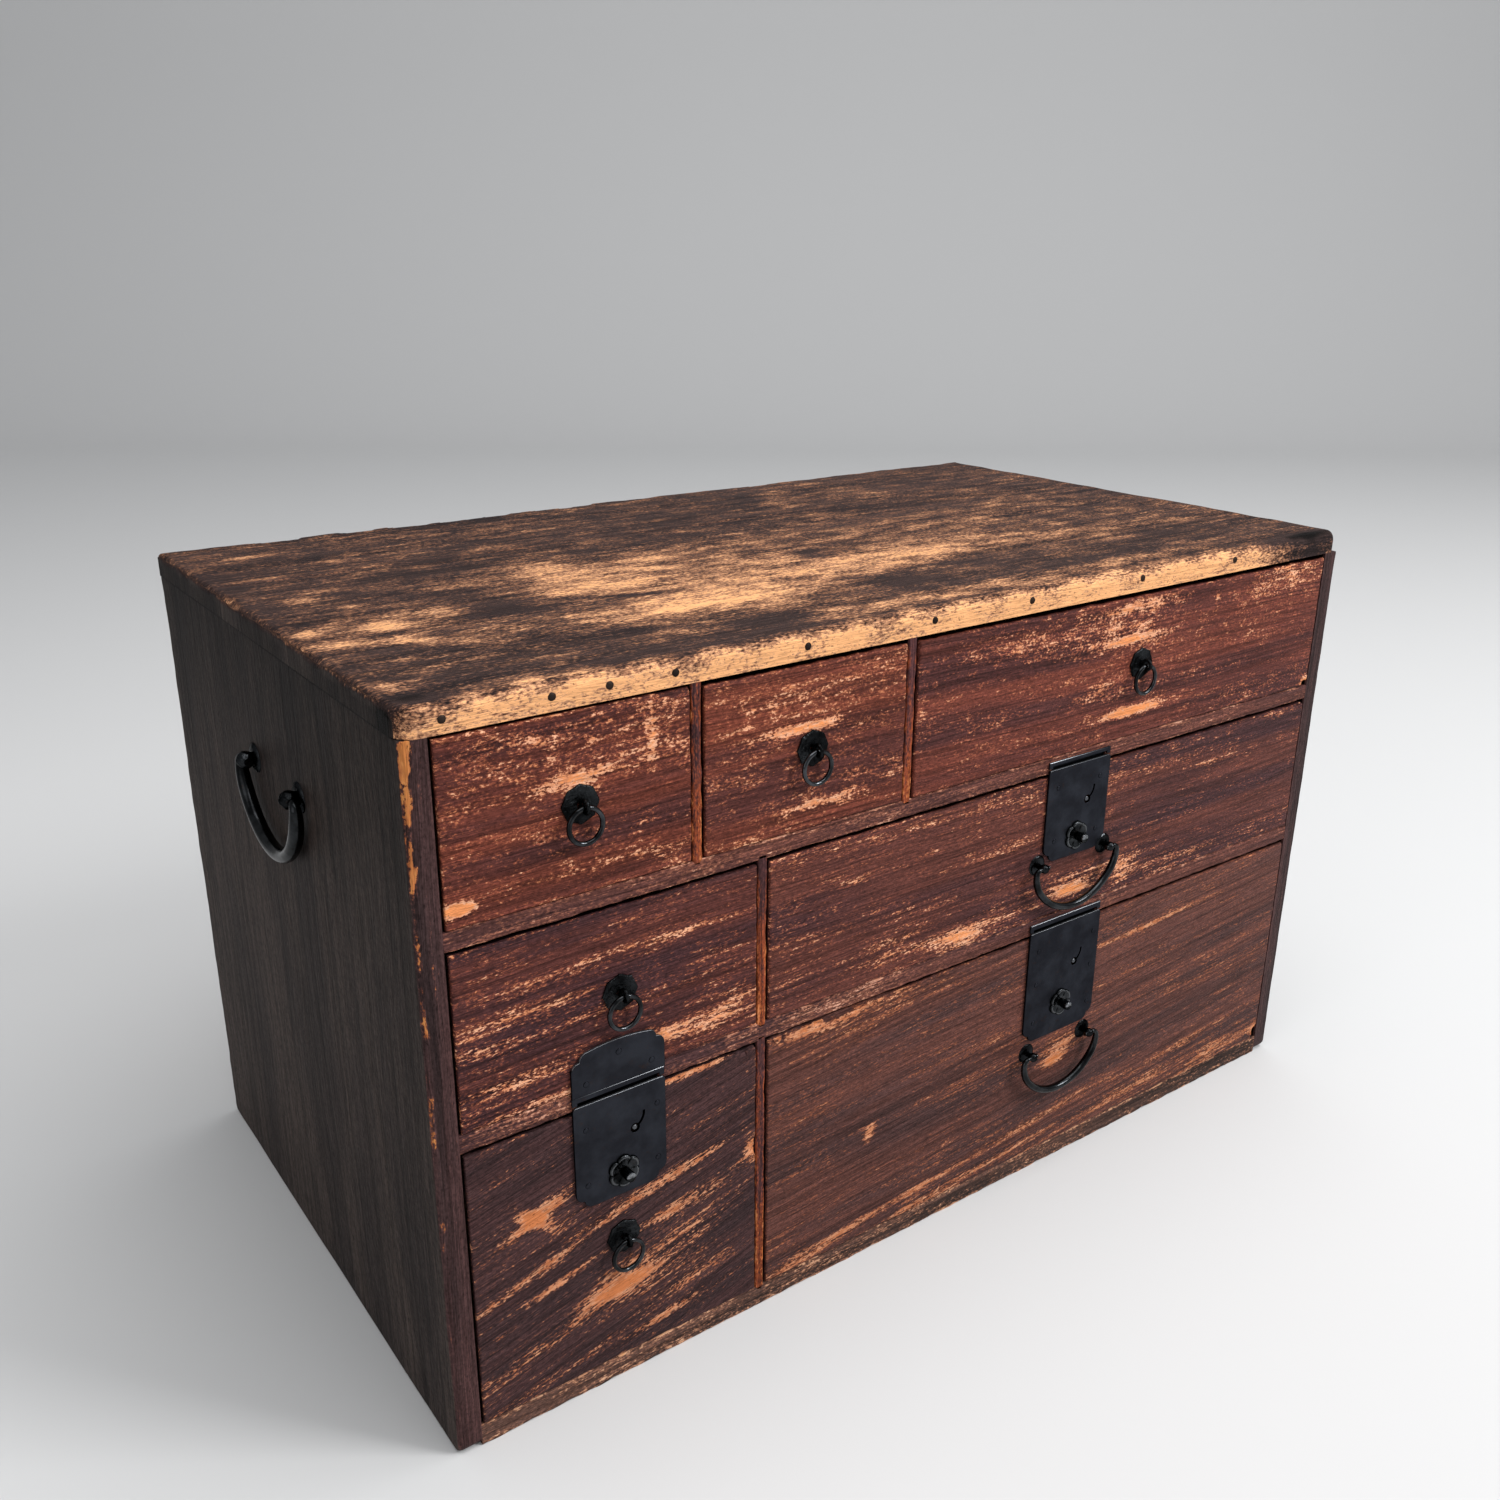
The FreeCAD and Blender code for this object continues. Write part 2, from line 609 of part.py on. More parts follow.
def lock_outline(lock):
    """Small rounds at the top, stepped corners at the bottom."""
    right, down = V(1, 0, 0), V(0, 0, -1)
    top_left, top_right = [V(x, LOCK_BACK, lock.top) for x in (lock.left, lock.right)]
    low_left, low_right = [V(x, LOCK_BACK, lock.bottom) for x in (lock.left, lock.right)]
    edges = stepped_corner(low_left, UP, right) + stepped_corner(low_right, right * -1, UP)
    edges.append(round_corner(top_right, down, right * -1, PLATE_TOP_RADIUS))
    edges.append(round_corner(top_left, right, down, PLATE_TOP_RADIUS))
    reach, radius = 2 * PLATE_STEP, PLATE_TOP_RADIUS
    edges.append(Part.makeLine(low_left + right * reach, low_right - right * reach))
    edges.append(Part.makeLine(low_right + UP * reach, top_right + down * radius))
    edges.append(Part.makeLine(top_right - right * radius, top_left + right * radius))
    edges.append(Part.makeLine(top_left + down * radius, low_left + UP * reach))
    return Part.Wire(Part.__sortEdges__(edges))


def keyhole(lock):
    """A round hole with a thin tail that curls up and to the right."""
    x, z = lock.keyhole
    through = LOCK_PLATE_THICKNESS
    hole = rod(KEYHOLE_RADIUS, V(x, LOCK_BACK, z), FORWARD, through)
    centre = V(x - TAIL_CENTRE[0], LOCK_BACK, z + TAIL_CENTRE[1])
    outer = rod(TAIL_RADIUS + TAIL_WIDTH / 2, centre, FORWARD, through)
    tail = outer.cut(rod(TAIL_RADIUS - TAIL_WIDTH / 2, centre, FORWARD, through))
    window = box((x, x + TAIL_RADIUS), (LOCK_BACK, LOCK_FACE), (z - KEYHOLE_RADIUS, z + TAIL_RISE))
    return hole.fuse(tail.common(window))


def knob_slot(lock):
    x, z = lock.knob
    half = STEM_RADIUS + BOLT_FIT
    return box((x - half, x + half), (LOCK_BACK, LOCK_FACE), (z - half, z + BOLT_TRAVEL + half))


def lock_plate(name):
    """The plate, its nails, and the two straps behind it that the bolt slides in."""
    lock = LOCKS[name]
    plate = Part.Face(lock_outline(lock)).extrude(FORWARD * LOCK_PLATE_THICKNESS)
    shanks = [nail_shank(V(x, LOCK_FACE, z), FORWARD) for x, z in lock.nails]
    plate = plate.cut([keyhole(lock), knob_slot(lock)] + shanks)
    nails = [nail(V(x, LOCK_FACE, z), FORWARD) for x, z in lock.nails]
    heights = (lock.knob[1] + LOWER_STRAP, lock.top - UPPER_STRAP)
    straps = [bolt_strap(lock, z) for z in heights]
    return [plate] + nails + straps


def bolt_strap(lock, z):
    """A U-shaped strap riveted to the back of a lock plate, round the bolt."""
    x = lock.knob[0]
    inner = BOLT_WIDTH / 2 + BOLT_FIT
    outer = inner + STRAP_FOOT
    height = (z, z + STRAP_WIDTH)
    loop = BOLT_BACK + BOLT_FIT
    strap = box((x - outer, x + outer), (LOCK_BACK, loop + STRAP_THICKNESS), height)
    return strap.cut(box((x - inner, x + inner), (LOCK_BACK, loop), height))


def lock_mortise(name):
    """The pocket behind a lock plate, open at the drawer's top edge where the bolt comes out."""
    lock = LOCKS[name]
    x, z = lock.knob
    top = OPENINGS[name][1][1]
    pocket = box((x - POCKET_LEFT, x + POCKET_RIGHT), (DRAWER_FACE, BOLT_BACK + POCKET_ROOM),
                 (z - POCKET_BELOW, top - POCKET_CEILING))
    return [pocket, bolt_window(lock, top - POCKET_CEILING, top)]


def lock_bolt(name):
    """The sliding bolt with its stem and stud, and the petalled rosette that its stem carries."""
    lock = LOCKS[name]
    x, z = lock.knob
    top = OPENINGS[name][1][1] - TOP_GAP - BOLT_HIDDEN
    half = BOLT_WIDTH / 2
    bar = box((x - half, x + half), (BOLT_FRONT, BOLT_BACK), (z - BOLT_TAIL, top))
    bar = bar.makeChamfer(BOLT_LEAD, edges_in(bar, z=top, y=BOLT_FRONT))
    back = LOCK_FACE - ROSETTE_GAP
    stem = rod(STEM_RADIUS, V(x, back, z), V(0, 1, 0), BOLT_FRONT - back)
    face = back - ROSETTE_THICKNESS
    neck = rod(STEM_RADIUS, V(x, back, z), FORWARD, ROSETTE_THICKNESS)
    stud = rod(STUD_RADIUS, V(x, face, z), FORWARD, STUD_LENGTH)
    stud = stud.makeFillet(STUD_ROUND, edges_in(stud, y=face - STUD_LENGTH))
    moving = bar.fuse([stem, neck, stud]).removeSplitter()
    return [moving, rosette(x, z, back)]


def rosette(x, z, back):
    """A flower of round petals about a disc, bored for the stem."""
    petal = ROSETTE_RADIUS * PETAL_SHARE
    reach = ROSETTE_RADIUS - petal
    base = V(x, back, z)
    button = turned([(0, 0), (petal, 0), (petal, ROSETTE_THICKNESS - PETAL_ARRIS),
                     (petal - PETAL_ARRIS, ROSETTE_THICKNESS), (0, ROSETTE_THICKNESS)])
    flower = rod(reach, base, FORWARD, ROSETTE_THICKNESS)
    for k in range(PETAL_COUNT):
        turn = math.radians(90 + 360 * k / PETAL_COUNT)
        centre = base + V(reach * math.cos(turn), 0, reach * math.sin(turn))
        flower = flower.fuse(aimed(button, centre, FORWARD))
    return flower.cut(rod(STEM_RADIUS, base, FORWARD, ROSETTE_THICKNESS))


def plaque():
    """The keeper plate on the drawer above the left lock: stepped shoulders, low arched top."""
    lock = LOCKS["bottom_left"]
    right = V(1, 0, 0)
    low_left, low_right = [V(x, LOCK_BACK, PLAQUE_BOTTOM) for x in (lock.left, lock.right)]
    top_left, top_right = [V(x, LOCK_BACK, PLAQUE_TOP) for x in (lock.left, lock.right)]
    reach = 2 * PLATE_STEP
    edges = stepped_corner(top_left, right, UP * -1) + stepped_corner(top_right, UP * -1, right * -1)
    crown = V(lock.centre, LOCK_BACK, PLAQUE_TOP + PLAQUE_ARCH)
    edges.append(Part.Arc(top_left + right * reach, crown, top_right - right * reach).toShape())
    edges.append(Part.makeLine(low_left, low_right))
    edges.append(Part.makeLine(low_left, top_left - UP * reach))
    edges.append(Part.makeLine(low_right, top_right - UP * reach))
    outline = Part.Wire(Part.__sortEdges__(edges))
    plate = Part.Face(outline).extrude(FORWARD * LOCK_PLATE_THICKNESS)
    plate = plate.cut([nail_shank(V(x, LOCK_FACE, z), FORWARD) for x, z in PLAQUE_NAILS])
    return [plate] + [nail(V(x, LOCK_FACE, z), FORWARD) for x, z in PLAQUE_NAILS]


# ---------------------------------------------------------------- bails and their posts
def bail_bar(bail, place, normal):
    """A bar that swells to its middle, swept along its arcs, with a straight pin at each end.

    place turns a point (u, w) of the handle's plane into a point of the chest, and normal is
    square to that plane.
    """
    arcs = bail.arcs()
    path = []
    for centre, radius, first, last in arcs:
        ends = [place(*on_arc(centre, radius, turn)) for turn in (first, (first + last) / 2, last)]
        path.append(Part.Arc(*ends).toShape())
    stations = [(centre, radius, first) for centre, radius, first, _ in arcs]
    stations.append((arcs[-1][0], arcs[-1][1], arcs[-1][3]))
    sections = []
    for (centre, radius, turn), bar in zip(stations, bail.bar_radii()):
        heading = place(*on_arc((0, 0), 1, turn + 90)) - place(0, 0)
        section = Part.Circle(place(*on_arc(centre, radius, turn)), heading, bar)
        section.XAxis = normal
        sections.append(Part.Wire(section.toShape()))
    bar = Part.Wire(path).makePipeShell(sections, True, False)
    inner = bail.half_posts - bail.ball - PIN_END
    pins = [rod(bail.pin, place(side * inner, 0), place(side, 0) - place(0, 0),
                bail.shoulder - inner) for side in (-1, 1)]
    return bar.fuse(pins)


def ball_post(bail, base, outward, lateral, shank, foot):
    """A post with a ball head that is cross-bored for the bail, on a dished washer.

    The shank goes in below the base. foot is the radius of the burr that it is riveted over
    inside, or None where it is driven blind.
    """
    washer = aimed(dome(bail.washer, bail.washer * WASHER_RISE_SHARE), base, outward)
    neck = bail.ball * NECK_SHARE
    head = base + outward * bail.stand_off
    post = rod(neck, base, outward, bail.stand_off).fuse(Part.makeSphere(bail.ball, head))
    post = post.fuse(rod(bail.pin, base, outward * -1, shank)).removeSplitter()
    bore = rod(bail.pin + BAIL_RUNNING_FIT, head - lateral * bail.ball * 2, lateral, bail.ball * 4)
    post = post.cut(bore)
    washer = washer.cut(post)
    if foot is None:
        return [post, washer]
    burr_face = base - outward * FRONT_THICKNESS
    burr = rod(foot, burr_face, outward * -1, BURR_THICKNESS)
    burr = burr.cut(rod(bail.pin, burr_face, outward * -1, BURR_THICKNESS))
    return [post, washer, burr]


def front_bail_pivot(name):
    bail, (x, z) = FRONT_BAILS[name]
    return V(x, DRAWER_FACE - bail.stand_off, z)


def front_post_holes(name):
    bail, (middle, z) = FRONT_BAILS[name]
    return [rod(bail.pin, V(x, DRAWER_FACE, z), V(0, 1, 0), FRONT_THICKNESS)
            for x in post_places(bail, middle)]


def front_bail_posts(name):
    bail, (middle, z) = FRONT_BAILS[name]
    solids = []
    for x in post_places(bail, middle):
        solids += ball_post(bail, V(x, DRAWER_FACE, z), FORWARD, V(1, 0, 0),
                            FRONT_THICKNESS + RIVETED_END, BURR_RADIUS)
    return solids


def front_bail(name):
    bail, _ = FRONT_BAILS[name]
    pivot = front_bail_pivot(name)
    return bail_bar(bail, lambda u, w: pivot + V(u, 0, w), V(0, 1, 0))


def side_bail_pivot(hand):
    return V(hand * (RIGHT + SIDE_BAIL.stand_off), SIDE_BAIL_CENTRE[0], SIDE_BAIL_CENTRE[1])


def side_handle_posts():
    """The four posts that carry the two side handles."""
    solids = []
    for hand in (-1, 1):
        for y in post_places(SIDE_BAIL, SIDE_BAIL_CENTRE[0]):
            base = V(hand * RIGHT, y, SIDE_BAIL_CENTRE[1])
            solids += ball_post(SIDE_BAIL, base, V(hand, 0, 0), V(0, 1, 0),
                                SIDE_THICKNESS - BLIND_END, None)
    return solids


def side_bail(hand):
    pivot = side_bail_pivot(hand)
    return bail_bar(SIDE_BAIL, lambda u, w: pivot + V(0, u, w), V(1, 0, 0))


# ---------------------------------------------------------------- every node
def nodes():
    """The name of each node and its solids."""
    made = {
        "top_board": top_board(),
        "left_side": side_board(-1),
        "right_side": side_board(1),
        "bottom_board": bottom_board(),
        "back_board": back_board(),
        "upper_shelf": upper_shelf(),
        "lower_shelf": lower_shelf(),
        "top_divider_left": divider(TOP_ROW_DIVIDERS[0], TOP_ROW),
        "top_divider_right": divider(TOP_ROW_DIVIDERS[1], TOP_ROW),
        "middle_divider": divider(LEFT_COLUMN_DIVIDER, MIDDLE_ROW),
        "bottom_divider": divider(LEFT_COLUMN_DIVIDER, BOTTOM_ROW),
        "case_nails": case_nails(),
        "side_handle_posts": side_handle_posts(),
        "left_handle": side_bail(-1),
        "right_handle": side_bail(1),
        "middle_left_plaque": plaque(),
    }
    for name in OPENINGS:
        made[name + "_drawer_front"] = drawer_front(name)
        made[name + "_drawer_box"] = drawer_box(name)
        made[name + "_drawer_bottom"] = drawer_bottom(name)
    for name in RING_PULLS:
        made[name + "_ring_mount"] = ring_mount(name)
        made[name + "_ring"] = ring(name)
    for name in LOCKS:
        made[name + "_strike_plate"] = strike_plate(LOCKS[name])
        made[name + "_lock_plate"] = lock_plate(name)
        made[name + "_lock_bolt"] = lock_bolt(name)
    for name in FRONT_BAILS:
        made[name + "_handle_posts"] = front_bail_posts(name)
        made[name + "_handle"] = front_bail(name)
    return made


os.makedirs("parts", exist_ok=True)
for node, solids in nodes().items():
    shape = Part.makeCompound(solids) if isinstance(solids, list) else solids
    shape.exportStep(os.path.join("parts", node + ".step"))
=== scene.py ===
"""Small tansu: the surfaces and finishes of a lacquered table chest with forged iron fittings.

Metres in the construction's own frame: +X to the chest's right, +Y to its back, +Z up. Sizes inside
a section are in millimetres, as a maker would write them, and MM turns them to metres.
"""
import bpy
import math
import numpy as np
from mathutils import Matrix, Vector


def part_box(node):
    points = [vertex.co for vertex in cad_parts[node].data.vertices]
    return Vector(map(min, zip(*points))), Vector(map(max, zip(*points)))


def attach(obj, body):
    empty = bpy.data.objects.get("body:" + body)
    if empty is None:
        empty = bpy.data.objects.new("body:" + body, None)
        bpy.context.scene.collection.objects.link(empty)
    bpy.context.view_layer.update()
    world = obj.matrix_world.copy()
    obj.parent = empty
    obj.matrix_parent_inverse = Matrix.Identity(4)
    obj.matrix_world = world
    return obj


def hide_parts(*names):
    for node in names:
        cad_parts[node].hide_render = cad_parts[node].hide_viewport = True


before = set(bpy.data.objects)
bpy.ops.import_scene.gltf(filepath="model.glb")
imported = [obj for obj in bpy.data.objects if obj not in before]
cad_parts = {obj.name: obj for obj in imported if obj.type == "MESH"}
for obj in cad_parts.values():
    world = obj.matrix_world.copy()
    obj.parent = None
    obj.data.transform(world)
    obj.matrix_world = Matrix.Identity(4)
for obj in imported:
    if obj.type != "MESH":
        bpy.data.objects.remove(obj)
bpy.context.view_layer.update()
MM = 0.001

# ------------------------------------------------------------------------------
# The lid: a wide board of cedar, planed, stained dark and lacquered, with an open joint nearly a
# third of the way in from the back. Hands and bowls have rubbed it through to the wood along its
# front and across its middle, and its arrises are round with wear.


def corners_of(node):
    """The lowest and highest corner of a construction piece, in millimetres."""
    low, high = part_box(node)
    return np.array(low) / MM, np.array(high) / MM


def ripple(seed, shortest, longest, count=28):
    """A smooth random field of unit size: plane waves of random heading, length and phase, summed."""
    rng = np.random.default_rng(seed)
    heading = rng.uniform(0, 2 * np.pi, count)
    length = np.exp(rng.uniform(np.log(shortest), np.log(longest), count))
    phase = rng.uniform(0, 2 * np.pi, count)

    def field(a, b):
        reach = np.multiply.outer(a, np.cos(heading)) + np.multiply.outer(b, np.sin(heading))
        return np.sin(reach * 2 * np.pi / length + phase).sum(-1) / math.sqrt(count / 2)
    return field


def rubbed(strokes, a, b):
    """Wear as a sum of soft strokes: centre, half length, half width, strength, tilt in degrees."""
    wear = np.zeros(np.broadcast(a, b).shape)
    for centre_a, centre_b, half_length, half_width, strength, tilt in strokes:
        turn = math.radians(tilt)
        along = (a - centre_a) * math.cos(turn) + (b - centre_b) * math.sin(turn)
        across = (b - centre_b) * math.cos(turn) - (a - centre_a) * math.sin(turn)
        wear += strength * np.exp(-(along / half_length) ** 2 - (across / half_width) ** 2)
    return wear


def both_sides(places):
    """A line just before and one just after each place where a face steps."""
    return [place + side * 0.01 for place in places for side in (-1, 1)]


def spaced(low, high, step, steps_at=()):
    """Positions from low to high: even in the middle, and close together at both ends, where the
    arrises are."""
    fine = np.array([0, 0.15, 0.4, 0.75, 1.2, 1.8, 2.6, 3.6, 4.8])
    inner = np.linspace(low + 6.4, high - 6.4, max(2, round((high - low - 12.8) / step)))
    return np.unique(np.concatenate([low + fine, inner, high - fine, both_sides(steps_at)]))


def fallen_edge(a, b, radii):
    """How far a rounded arris falls below the face: a quarter circle of the local radius.

    radii gives the radius at the low and high end along, then at the low and high edge across, and
    the nearest edge has the most say.
    """
    gaps = np.stack([a - a.min(), a.max() - a, b - b.min(), b.max() - b])
    say = np.exp(-gaps / 2.5)
    radius = sum(s * r for s, r in zip(say, radii)) / say.sum(0)
    past = np.hypot(np.clip(radius - np.minimum(gaps[0], gaps[1]), 0, None),
                    np.clip(radius - np.minimum(gaps[2], gaps[3]), 0, None))
    return radius - np.sqrt(np.clip(radius ** 2 - np.minimum(past, radius) ** 2, 0, None))


def split_away(chips, a, b):
    """Depth lost to chips: half an ellipsoid of wood gone at each (a, b, half a, half b, depth)."""
    depth = np.zeros(np.broadcast(a, b).shape)
    for centre_a, centre_b, half_a, half_b, deep in chips:
        left = 1 - ((a - centre_a) / half_a) ** 2 - ((b - centre_b) / half_b) ** 2
        depth = np.maximum(depth, deep * np.sqrt(np.clip(left, 0, None)))
    return depth


def cells(index):
    """One quad in each cell of a grid of point numbers."""
    quads = np.stack([index[:-1, :-1], index[1:, :-1], index[1:, 1:], index[:-1, 1:]], -1)
    return quads.reshape(-1, 4)


def between(rings, turned_over=False):
    """Quads that join each ring of point numbers to the next one, closed round."""
    ahead = np.roll(rings, -1, 1)
    quads = np.stack([rings[:-1], rings[1:], ahead[1:], ahead[:-1]], -1).reshape(-1, 4)
    return quads[:, [0, 3, 2, 1]] if turned_over else quads


def board(along, across, place, front, back, rows, carve=None):
    """A board as two height fields over one grid, joined by a rim.

    front and back are depths below the show plane over the grid, place turns (along, across,
    depth) into points, rows are the depths of the lines round the rim, and carve moves rim points.
    """
    a, b = np.meshgrid(along, across, indexing="ij")
    face, rear = front(a, b), back(a, b)
    count = a.size
    index = np.arange(count).reshape(a.shape)
    loop = np.concatenate([index[:-1, 0], index[-1, :-1], index[:0:-1, -1], index[0, :0:-1]])
    edge_a, edge_b = a.ravel()[loop], b.ravel()[loop]
    step = np.arange(1, len(rows) + 1)[:, None] * 0.002
    depth = np.clip(np.array(rows)[:, None], face.ravel()[loop] + step,
                    rear.ravel()[loop] - 0.05 + step - step[-1])
    rim = [edge_a + 0 * depth, edge_b + 0 * depth, depth]
    if carve:
        rim = carve(*rim)
    points = [np.stack(place(*part), -1).reshape(-1, 3)
              for part in ((a, b, face), (a, b, rear), rim)]
    rings = np.concatenate([loop[None], 2 * count + np.arange(depth.size).reshape(depth.shape),
                            count + loop[None]])
    quads = cells(index)
    return np.concatenate(points), [quads, quads[:, ::-1] + count, between(rings)]


def outward(points, faces):
    """The same faces, turned over if they enclose a negative volume."""
    volume = 0.0
    for group in faces:
        corner = points[group]
        for k in range(1, group.shape[1] - 1):
            volume += np.einsum("ij,ij->i", corner[:, 0],
                                np.cross(corner[:, k], corner[:, k + 1])).sum()
    return faces if volume > 0 else [group[:, ::-1] for group in faces]


def placed(name, data):
    """A new object in the scene."""
    made = bpy.data.objects.new(name, data)
    bpy.context.scene.collection.objects.link(made)
    return made


def piece(name, parts, material, body, stands_for, grain=None, wear=None, crisp=35, trim=None):
    """One object from (points, faces) parts in millimetres, finished and riding on its body.

    grain and wear are functions of the points, kept as attributes that the finish follows; wear also
    carries painted shade where it runs below zero and, on iron, painted highlights. Edges that turn by
    more than crisp degrees stay sharp. trim is a second finish and the rule for the faces, by their
    middles, that take it.
    """
    points = np.concatenate([p for p, _ in parts])
    faces = []
    start = 0
    for p, groups in parts:
        for group in outward(p, groups):
            faces += (group + start).tolist()
        start += len(p)
    mesh = bpy.data.meshes.new(name)
    mesh.from_pydata((points * MM).tolist(), [], faces)
    for what, kind, field, rule in (("grain", "FLOAT_VECTOR", "vector", grain),
                                    ("wear", "FLOAT", "value", wear)):
        if rule:
            kept = mesh.attributes.new(what, kind, "POINT")
            kept.data.foreach_set(field, rule(points).astype(np.float32).ravel())
    mesh.shade_smooth()
    mesh.set_sharp_from_angle(angle=math.radians(crisp))
    mesh.materials.append(material)
    if trim:
        mesh.materials.append(trim[0])
        middle = np.empty(3 * len(mesh.polygons))
        mesh.polygons.foreach_get("center", middle)
        chosen = trim[1](middle.reshape(-1, 3) / MM)
        mesh.polygons.foreach_set("material_index", chosen.astype(np.int32))
    made = placed(name, mesh)
    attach(made, body)
    for node in stands_for:
        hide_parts(node)


def lies_along(axes, tilt, shift):
    """Grain coordinates in millimetres: along, across and into the board, from named axes.

    tilt turns the grain in the plane of the face, in degrees, and shift picks another stretch of
    the same tree, so that no two boards match.
    """
    order = ["xyz".index(axis) for axis in axes]
    turn = math.radians(tilt)

    def grain(points):
        a, b, d = [points[:, k] for k in order]
        along = a * math.cos(turn) + b * math.sin(turn)
        across = b * math.cos(turn) - a * math.sin(turn)
        return np.stack([along, across, d], -1) + np.array(shift)
    return grain


def add(tree, kind, links, **settings):
    """A shader node with its settings. links joins its inputs to other nodes or sets their values."""
    node = tree.nodes.new("ShaderNode" + kind)
    for setting, value in settings.items():
        setattr(node, setting, value)
    for socket, value in links.items():
        if isinstance(value, bpy.types.NodeSocket):
            tree.links.new(value, node.inputs[socket])
        else:
            node.inputs[socket].default_value = value
    return node


def linear(colour):
    """The linear RGBA of an sRGB hex colour."""
    parts = [int(colour[k:k + 2], 16) / 255 for k in (1, 3, 5)]
    return [c / 12.92 if c <= 0.04045 else ((c + 0.055) / 1.055) ** 2.4 for c in parts] + [1.0]


def blank_material(name):
    """A new material with no nodes, and its tree."""
    material = bpy.data.materials.new(name)
    material.use_nodes = True
    material.node_tree.nodes.clear()
    return material, material.node_tree


